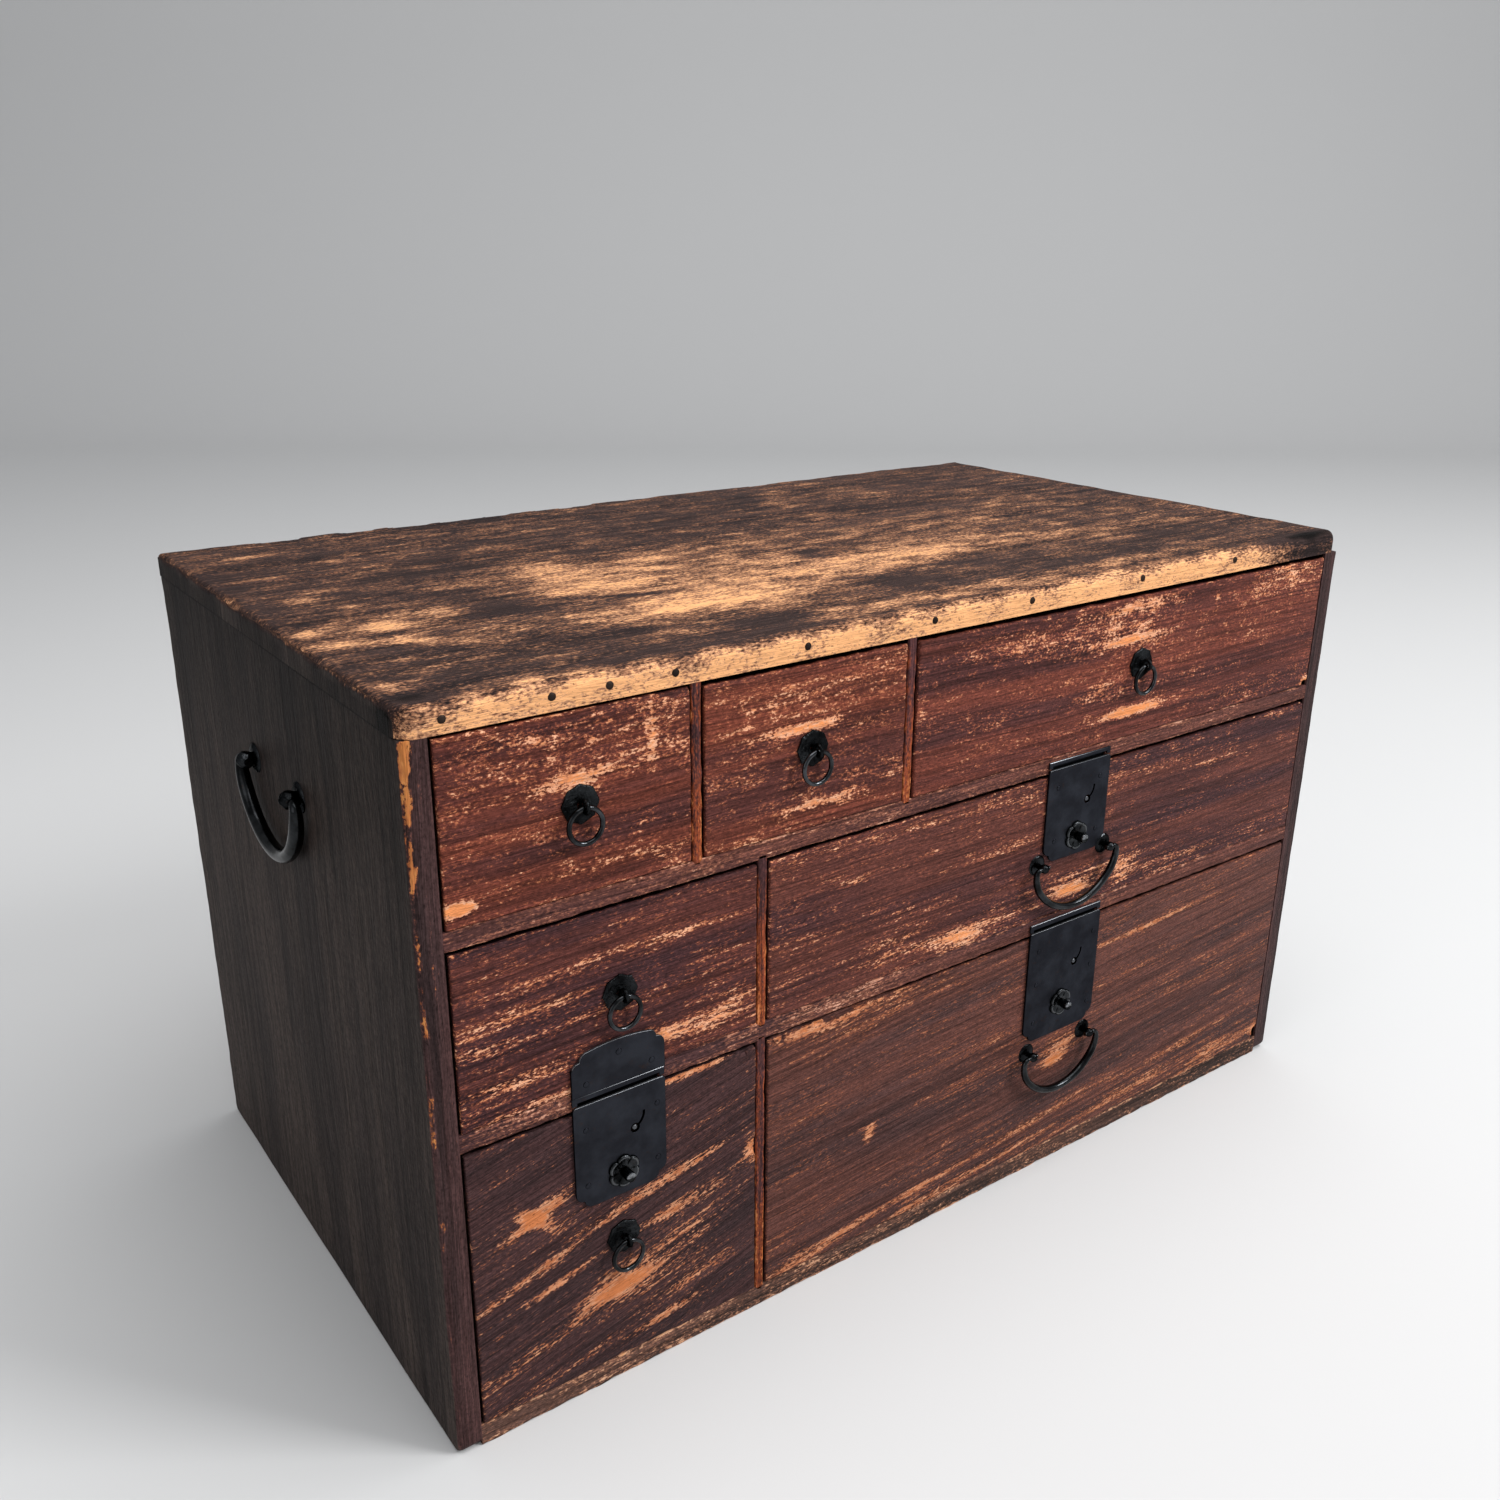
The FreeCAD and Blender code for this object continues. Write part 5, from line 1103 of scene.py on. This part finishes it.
def pierced_plate(outlines, thick, filed):
    """A flat plate with holes in its own plane, every arris rounded by the file."""
    curve = bpy.data.curves.new("plate_outline", "CURVE")
    curve.dimensions = "2D"
    curve.fill_mode = "BOTH"
    curve.extrude = thick / 2 - filed
    curve.bevel_depth = filed
    curve.bevel_resolution = 2
    curve.offset = -filed
    for outline in outlines:
        spline = curve.splines.new("POLY")
        spline.points.add(len(outline) - 1)
        flat = np.c_[outline, np.zeros(len(outline)), np.ones(len(outline))]
        spline.points.foreach_set("co", flat.ravel())
        spline.use_cyclic_u = True
    shape = bpy.data.objects.new("plate_outline", curve)
    mesh = bpy.data.meshes.new_from_object(shape)
    points = np.array([v.co for v in mesh.vertices])
    polygons = [list(p.vertices) for p in mesh.polygons]
    bpy.data.meshes.remove(mesh)
    bpy.data.objects.remove(shape)
    bpy.data.curves.remove(curve)
    sizes = sorted({len(p) for p in polygons})
    return points, [np.array([p for p in polygons if len(p) == size]) for size in sizes]


def quarter(centre_first, centre_second, radius, corner, first, second):
    """A quarter round in a corner, from its first side to its second."""
    t = np.linspace(0, np.pi / 2, 9)[:, None]
    first, second = np.array(first), np.array(second)
    centre = np.array(corner) + first * centre_first + second * centre_second
    return centre - radius * (np.sin(t) * first + np.cos(t) * second)


def stepped(corner, first, second):
    """Two quarter rounds that meet at a cusp."""
    return np.concatenate([quarter(2 * LOCK_STEP, LOCK_STEP, LOCK_STEP, corner, first, second),
                           quarter(LOCK_STEP, 2 * LOCK_STEP, LOCK_STEP, corner, first, second)[1:]])


def keyhole_outline(x, z):
    """A round hole with a tail that leaves it to the right and curls up."""
    middle = np.array([x - 3.0, z + 8.0])
    far = math.hypot(3.0, 8.0)
    from_hole = math.degrees(math.atan2(-8.0, 3.0))
    leave = [math.degrees(math.acos((far ** 2 + r ** 2 - KEYHOLE ** 2) / (2 * far * r)))
             for r in (TAIL + TAIL_HALF, TAIL - TAIL_HALF)]
    outer = arc(middle, TAIL + TAIL_HALF, from_hole + leave[0], 3.4, 16)
    inner = arc(middle, TAIL - TAIL_HALF, 3.4, from_hole + leave[1], 16)
    start, end = [math.degrees(math.atan2(p[1] - z, p[0] - x)) for p in (inner[-1], outer[0])]
    return np.concatenate([outer, inner, arc((x, z), KEYHOLE, start, end + 360, 28)[1:-1]])


def slot_outline(x, z, half, tall):
    """An upright slot with round ends."""
    return np.concatenate([arc((x, z + tall), half, 0, 180, 12), arc((x, z), half, 180, 360, 12)])


def nearest(x, z, spots):
    """How far each point is from the nearest of some spots on the drawer fronts."""
    spots = np.array(spots)
    return np.hypot(x[:, None] - spots[:, 0], z[:, None] - spots[:, 1]).min(1)


def on_face(part, behind):
    """A plate's (x, z, thickness) laid on the drawer fronts, its back at a depth."""
    points, faces = part
    return np.stack([points[:, 0], behind - points[:, 2] - LOCK_THICK / 2, points[:, 1]], -1), faces


UP, DOWN, WEST, EAST = (0.0, 1.0), (0.0, -1.0), (-1.0, 0.0), (1.0, 0.0)


def lock_outline(left, right, bottom, top):
    """Stepped at both lower corners and simply rounded at both upper ones."""
    return np.concatenate([stepped((left, bottom), UP, EAST), stepped((right, bottom), WEST, UP),
                           quarter(LOCK_ROUND, LOCK_ROUND, LOCK_ROUND, (right, top), DOWN, WEST),
                           quarter(LOCK_ROUND, LOCK_ROUND, LOCK_ROUND, (left, top), EAST, DOWN)])


FLOWER = 9.3
FLOWER_THICK = 1.5
NOTCH = 0.17
STUD = 2.8
STUD_LONG = 6.5


def flower(x, z, back):
    """Six petals: the rim is a ring of six arcs, each petal is dished inside a raised edge, and a
    cut line runs in from every notch."""
    def petals(t, r, h):
        lobe = np.abs(np.cos(3 * (t - np.pi / 2))) ** 0.55
        return 1 - (NOTCH * (1 - lobe)) * (r / FLOWER) ** 2

    def relief(t, r, h):
        lobe = np.abs(np.cos(3 * (t - np.pi / 2)))
        rim = FLOWER * (1 - NOTCH * (1 - lobe ** 0.55))
        raised = 0.42 * np.exp(-((r / rim - 0.87) / 0.085) ** 2)
        cut = -0.5 * np.exp(-(lobe / 0.22) ** 2) * np.clip((r - 3.4) / 2, 0, 1)
        dish = -0.28 * np.exp(-((r / rim - 0.58) / 0.2) ** 2)
        return np.where(h > 0.4, raised + cut + dish - 0.15, 0)

    radii = np.concatenate([[2.0, 2.0], np.linspace(2.4, FLOWER - 0.5, 22),
                            [FLOWER - 0.2, FLOWER, FLOWER]])
    heights = np.concatenate([[0, 1.2], np.full(22, 1.2), [1.05, 0.75, 0]])
    return aimed(turned(radii, heights, 144, petals, relief), (x, back, z), (0, -1, 0))


# a strap's two legs and its bridge, from the knob's line, the drawer's face and the strap's foot
STRAP = (((-7.2, 0, 0), (-5.3, 8.3, 4)), ((5.3, 0, 0), (7.2, 8.3, 4)), ((-7.2, 8.3, 0), (7.2, 9.2, 4)))
STRAP_ABOVE_KNOB = 14
STRAP_BELOW_TOP = 18
BAR_HALF = 5.0
BAR_DEPTHS = (5.0, 8.0)
SLOT_HALF = 2.3
TRAVEL = 6.0
KNOB_CLEAR = 0.15


def lock(drawer, seed):
    """A lock's plate with its nails and straps, and its bolt with the knob."""
    made = LOCKS[drawer]
    left, right = made["centre"] - made["wide"] / 2, made["centre"] + made["wide"] / 2
    (knob_x, knob_z), (hole_x, hole_z) = made["knob"], made["keyhole"]
    outlines = [lock_outline(left, right, made["bottom"], made["top"]),
                keyhole_outline(hole_x, hole_z), slot_outline(knob_x, knob_z, SLOT_HALF, TRAVEL)]
    plate = on_face(pierced_plate(outlines, LOCK_THICK, FILED), DRAWER_FACE)
    face = DRAWER_FACE - LOCK_THICK
    nail_middle, nail_half = made["nails"]
    spots = [(nail_middle + side * nail_half, z) for z in made["nail_rows"] for side in (-1, 1)]
    nails = [nail_head((x, face, z), seed + k, 1.7, 0.5) for k, (x, z) in enumerate(spots)]
    scratched = ripple(seed, 2, 12)

    def painted_edge_light(points):
        """Painted highlight along the plate's top edge and on the key pin, and painted shade in the
        keyhole and round each nail."""
        x, y, z = points.T
        in_hole, from_nail = nearest(x, z, outlines[1]) < 0.12, nearest(x, z, spots)
        top_edge = (z > made["top"] - 0.4) & (y > face + 0.05) & (y < face + 1.7)
        bright = top_edge * (0.75 + 0.2 * scratched(x, 0 * x))
        bright = np.where((from_nail > 1.4) & (from_nail < 1.75) & (y > face - 0.2), -0.9, bright)
        bright = np.where((np.hypot(x - hole_x, z - hole_z) < 1.5) & (y < face + 1.0), 0.25, bright)
        return np.where(in_hole, -1.0, bright)

    straps = []
    for z in (knob_z + STRAP_ABOVE_KNOB, made["top"] - STRAP_BELOW_TOP):
        at = np.array([knob_x, DRAWER_FACE, z])
        straps += [rounded_block(at + part_low, at + part_high, 0.25) for part_low, part_high in STRAP]
    key_pin = aimed(turned([0, 1.4, 1.4, 1.1, 0], [0, 0, 9.8, 10.1, 10.1], 20),
                    (hole_x, DRAWER_FACE + 8.8, hole_z), (0, -1, 0))
    piece(drawer + "_lock_front", [plate, key_pin] + nails + straps, lock_iron, drawer + "_drawer",
          [drawer + "_lock_plate"], wear=painted_edge_light)
    bolt_low, bolt_high = corners_of(drawer + "_lock_bolt")
    back = face - KNOB_CLEAR
    stud_top = FLOWER_THICK + STUD_LONG
    stud_radii = [0, 2.0, 2.0, 2.0, STUD * 0.9, STUD, STUD, STUD * 0.93, STUD * 0.62, 0]
    stud_heights = [-6.6, -6.6, 0, 1.2, 1.9, 2.8,
                    stud_top - 1.5, stud_top - 0.6, stud_top - 0.1, stud_top]
    stud = aimed(turned(stud_radii, stud_heights, 40), (knob_x, back, knob_z), (0, -1, 0))
    bar = rounded_block((knob_x - BAR_HALF, DRAWER_FACE + BAR_DEPTHS[0], bolt_low[2]),
                        (knob_x + BAR_HALF, DRAWER_FACE + BAR_DEPTHS[1], bolt_high[2]), 0.5)

    def painted_knob_light(points):
        """Painted highlight on the petals' raised rims and on the upper half of the stud's tip, and
        painted shade in the cuts and at its foot.
        """
        x, y, z = points.T
        rise, out = back - y, np.hypot(x - knob_x, z - knob_z)
        petals = 0.24 * np.clip((rise - 1.2) / 0.25, 0, 1) - 0.9 * np.clip((0.85 - rise) / 0.3, 0, 1)
        on_stud = (out < STUD + 0.1) & (rise > 1.0)
        tip = 0.6 * (rise > stud_top - 0.8) * (out > 0.5 * STUD) * (z > knob_z) - 0.8 * (rise < 2.0)
        return np.where(on_stud, tip, petals * (rise > 0.1))

    piece(drawer + "_lock_knob", [flower(knob_x, knob_z, back), stud, bar], knob_iron,
          drawer + "_lock_bolt", [drawer + "_lock_bolt"], wear=painted_knob_light)


LINING = 0.8
KEEPER_HALF = 8.0
KEEPER_FRONT = 8.6
STRIKE_SEED = 38


def strike(drawer):
    """Folded iron in the shelf's edge: a strip with two short legs, the lining of the recess under
    it, and the keeper that the bolt rises through."""
    low, high = corners_of(drawer + "_strike_plate")
    strip_low, knob_x = LOCKS[drawer]["strike"][0], LOCKS[drawer]["knob"][0]
    front, mouth, keeper_top = low[1], CASE_FRONT + MOUTH_DEEP, low[2] + LINING
    inner_low, inner_high = low[0] + STRIKE_LEG, high[0] - STRIKE_LEG
    parts = [rounded_block((low[0], front, strip_low), (high[0], CASE_FRONT + 0.05, high[2]), 0.6, 4)]
    for start, end in ((low[0], inner_low), (inner_high, high[0])):
        parts.append(rounded_block((start, front, strip_low - 1.6),
                                   (end, CASE_FRONT, strip_low + 0.9), 0.5))
    for near, bottom in ((mouth - LINING, low[2]), (CASE_FRONT, strip_low)):
        parts.append(rounded_block((inner_low, near, bottom),
                                   (inner_high, mouth, strip_low + LINING), 0.2))
    for start, end, near in ((-KEEPER_HALF, -BOLT_HALF, mouth - LINING),
                             (BOLT_HALF, KEEPER_HALF, mouth - LINING),
                             (-KEEPER_HALF, KEEPER_HALF, DRAWER_FACE + KEEPER_FRONT)):
        parts.append(rounded_block((knob_x + start, near, low[2]),
                                   (knob_x + end, high[1], keeper_top), 0.2))
    scratched = ripple(STRIKE_SEED, 2, 9)

    def painted_strike_highlight(points):
        """Painted highlight along the strip's upper edge."""
        x, y, z = points.T
        return (z > high[2] - 0.3) * np.clip(0.5 + 0.4 * scratched(x, 0 * x), 0, 1)

    piece(drawer + "_strike_iron", parts, lock_iron, "case",
          [drawer + "_strike_plate"], wear=painted_strike_highlight)


for number, drawer in enumerate(LOCKS):
    lock(drawer, 100 + 10 * number)
    strike(drawer)

# the plaque's top steps down at both shoulders and arches a little between them
PLAQUE_TOP = 206.6
PLAQUE_ARCH = 1.6
PLAQUE_NAILS = ((-250.7, 189.0), (-232.0, 201.0), (-213.3, 189.5))
plaque_low, plaque_high = corners_of("middle_left_plaque")
shoulder_left = stepped((plaque_low[0], PLAQUE_TOP), EAST, DOWN)
shoulder_right = stepped((plaque_high[0], PLAQUE_TOP), DOWN, WEST)
span = np.linspace(1, -1, 24)[1:-1]
half_top = (plaque_high[0] - plaque_low[0]) / 2 - 2 * LOCK_STEP
crown = np.stack([(plaque_low[0] + plaque_high[0]) / 2 + half_top * span,
                  PLAQUE_TOP + PLAQUE_ARCH * (1 - span ** 2)], -1)
plaque_edge = np.concatenate([[[plaque_low[0], plaque_low[2]], [plaque_high[0], plaque_low[2]]],
                              shoulder_right, crown, shoulder_left])
plaque_parts = [on_face(pierced_plate([plaque_edge], LOCK_THICK, FILED), DRAWER_FACE)]
plaque_parts += [nail_head((x, DRAWER_FACE - LOCK_THICK, z), 140 + k, 1.8, 0.5)
                 for k, (x, z) in enumerate(PLAQUE_NAILS)]


def painted_keeper_light(points):
    """Painted highlight along the crown and shoulders, and painted shade round each nail."""
    x, y, z = points.T
    on_edge, from_nail = nearest(x, z, plaque_edge) < 0.3, nearest(x, z, PLAQUE_NAILS)
    upward = on_edge & (y > DRAWER_FACE - LOCK_THICK + 0.05) & (z > plaque_low[2] + 3)
    upward = upward & (x > plaque_low[0] + 0.4) & (x < plaque_high[0] - 0.4)
    nail_ring_shade = (from_nail > 1.5) & (from_nail < 1.85) & (y > DRAWER_FACE - LOCK_THICK - 0.2)
    return 0.6 * upward - 0.9 * nail_ring_shade


piece("middle_left_keeper", plaque_parts, lock_iron, "middle_left_drawer",
      ["middle_left_plaque"], wear=painted_keeper_light)

# ------------------------------------------------------------------------------
# Bail handles: two on the lower drawers and one on each side. A forged bar hangs in two posts with
# cross-bored heads, round on the drawers and worked like buds on the sides, over dished washers.
# The bars keep their own shape and take a finish.

FRONT_POSTS = {"middle_right": (89.3, 222.6, 29.0), "bottom_right": (90.0, 91.0, 25.8)}
handle_iron = forged_iron("iron_bail_rubbed", "#161718", "#36383a", rough=0.17, dent_size=5.0,
                          dent=0.15, sheen=0.8)
post_iron = forged_iron("iron_post_rubbed", "#111213", "#2c2e30", rough=0.20, dent_size=2.0,
                        dent=0.4)


def bored_ball(at, radius, bore, along, bumps=0.0):
    """A ball with a hole right through it: the ball's arc from rim to rim, and the hole's wall."""
    rim = math.asin(bore / radius)
    t = np.linspace(rim, np.pi - rim, 22)
    wall = np.cos(rim) * radius * np.linspace(0.93, -0.93, 3)
    radii = np.concatenate([radius * np.sin(t), np.full(3, bore)])
    heights = np.concatenate([-radius * np.cos(t), wall])

    def knobbly(turn, r, h):
        ridge = np.cos(5 * turn) * np.cos(4.2 * h / radius)
        return np.where(r > bore * 1.15, 1 - bumps * (1 - ridge) / 2, 1.0)
    return aimed(turned(radii, heights, 40, knobbly), at, along)


def post(base, outward_to, along, washer, ball, bore, stand, bumps):
    """A washer, a neck and a ball head in which the bail hangs."""
    base, outward_to = np.array(base, float), np.array(outward_to, float)
    t = np.linspace(0, 1, 9)
    rise = 0.2 * washer
    radii = np.concatenate([washer * (1 - 0.45 * t ** 1.4), [ball * 0.62, ball * 0.62]])
    heights = np.concatenate([rise * np.clip(np.sin(np.pi / 2 * t) * 1.02, 0, 1), [rise, 0]])
    disc = aimed(turned(radii, heights, 56), base, outward_to)
    neck_top = stand - ball * 0.72
    neck = turned([0, ball * 0.64, ball * 0.6, ball * 0.5, ball * 0.62, 0],
                  [-2.0, -2.0, rise * 0.8, neck_top * 0.7, neck_top, neck_top], 28)
    return [disc, aimed(neck, base, outward_to),
            bored_ball(base + outward_to * stand, ball, bore, along, bumps)]


for drawer, (middle, height, half) in FRONT_POSTS.items():
    parts = []
    for x in (middle - half, middle + half):
        parts += post((x, DRAWER_FACE, height), (0, -1, 0), (1, 0, 0), washer=6.5, ball=2.9,
                      bore=1.37, stand=6.2, bumps=0.0)
        burr = turned([0, 3.4, 3.4, 3.0, 1.4, 0], [0, 0, 0.7, 1.0, 1.5, 1.6], 28)
        parts.append(aimed(burr, (x, DRAWER_FACE + FRONT_THICK, height), (0, 1, 0)))
    piece(drawer + "_bail_posts", parts, post_iron, drawer + "_drawer",
          [drawer + "_handle_posts"])

SIDE_FACE = 330.0
SIDE_MIDDLE = -9.2
SIDE_HEIGHT = 311.0
SIDE_HALF = 34.8
side_parts = []
for hand in (-1, 1):
    for y in (SIDE_MIDDLE - SIDE_HALF, SIDE_MIDDLE + SIDE_HALF):
        side_parts += post((hand * SIDE_FACE, y, SIDE_HEIGHT), (hand, 0, 0), (0, 1, 0),
                           washer=8.4, ball=5.2, bore=2.17, stand=5.4, bumps=0.13)
piece("side_bail_posts", side_parts, post_iron, "case", ["side_handle_posts"])
for handle in ("left", "right", *FRONT_POSTS):
    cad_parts[handle + "_handle"].material_slots[0].material = handle_iron

# ------------------------------------------------------------------------------
# A pale floor that curves up into a wall, soft lights, and the camera, which stands a little above
# the lid to the chest's left. Sizes here are in metres.

floor_paint = bpy.data.materials.new("floor_pale_matt")
floor_paint.use_nodes = True
paint = floor_paint.node_tree.nodes["Principled BSDF"].inputs
paint["Base Color"].default_value = linear("#cdcdcd")
paint["Roughness"].default_value = 0.75
SWEEP_FAR = 3.2
SWEEP_ROUND = 1.2
SWEEP_YAW = 35.7
across = np.linspace(-9, 9, 3)
turn = np.linspace(0, np.pi / 2, 17)
run = np.concatenate([[-6], SWEEP_FAR + SWEEP_ROUND * np.sin(turn), [SWEEP_FAR + SWEEP_ROUND]])
rise = np.concatenate([[0], SWEEP_ROUND * (1 - np.cos(turn)), [5]])
grid_x, grid_run = np.meshgrid(across, run, indexing="ij")
yaw = math.radians(SWEEP_YAW)
sweep = np.stack([grid_x * math.cos(yaw) + grid_run * math.sin(yaw),
                  grid_run * math.cos(yaw) - grid_x * math.sin(yaw),
                  np.broadcast_to(rise, grid_x.shape)], -1).reshape(-1, 3)
index = np.arange(grid_x.size).reshape(grid_x.shape)
floor_mesh = bpy.data.meshes.new("floor_sweep")
floor_mesh.from_pydata(sweep.tolist(), [], cells(index).tolist())
floor_mesh.shade_smooth()
floor_mesh.materials.append(floor_paint)
placed("floor_sweep", floor_mesh)


def soft_light(name, at, towards, size, power):
    """A large square lamp at a point, aimed at another."""
    lamp = bpy.data.lights.new(name, "AREA")
    lamp.shape = "RECTANGLE"
    lamp.size, lamp.size_y = size
    lamp.energy = power
    stand = placed(name, lamp)
    heading = np.array(towards, float) - np.array(at, float)
    yaw_angle = math.atan2(heading[1], heading[0])
    pitch_angle = math.atan2(math.hypot(heading[0], heading[1]), -heading[2])
    stand.rotation_euler = (pitch_angle, 0, yaw_angle - math.pi / 2)
    stand.location = at


soft_light("window", (2.3, -2.6, 2.5), (0, -0.1, 0.2), size=(1.2, 1.2), power=116)
soft_light("sky", (0.3, -0.5, 2.6), (0, 0, 0.2), size=(2.6, 2.2), power=56)
soft_light("fill", (-2.4, -0.9, 1.2), (0, 0, 0.2), size=(1.8, 1.6), power=8)

world = bpy.data.worlds.new("studio")
world.use_nodes = True
sky = world.node_tree.nodes["Background"].inputs
sky["Color"].default_value = linear("#dfe1e4")
sky["Strength"].default_value = 0.58
bpy.context.scene.world = world

CAMERA_AT = (-0.5281, -0.7054, 0.5760)
CAMERA_YAW = 35.702
CAMERA_DOWN = 20.088
CAMERA_ROLL = -0.247
camera_data = bpy.data.cameras.new("camera")
camera_data.lens = 33.65
camera_data.sensor_width = 36.0
camera_data.clip_start = 0.02
camera = placed("camera", camera_data)
camera.location = CAMERA_AT
camera.rotation_euler = np.radians([90 - CAMERA_DOWN, CAMERA_ROLL, -CAMERA_YAW])
bpy.context.scene.camera = camera
bpy.context.scene.view_settings.view_transform = "Standard"
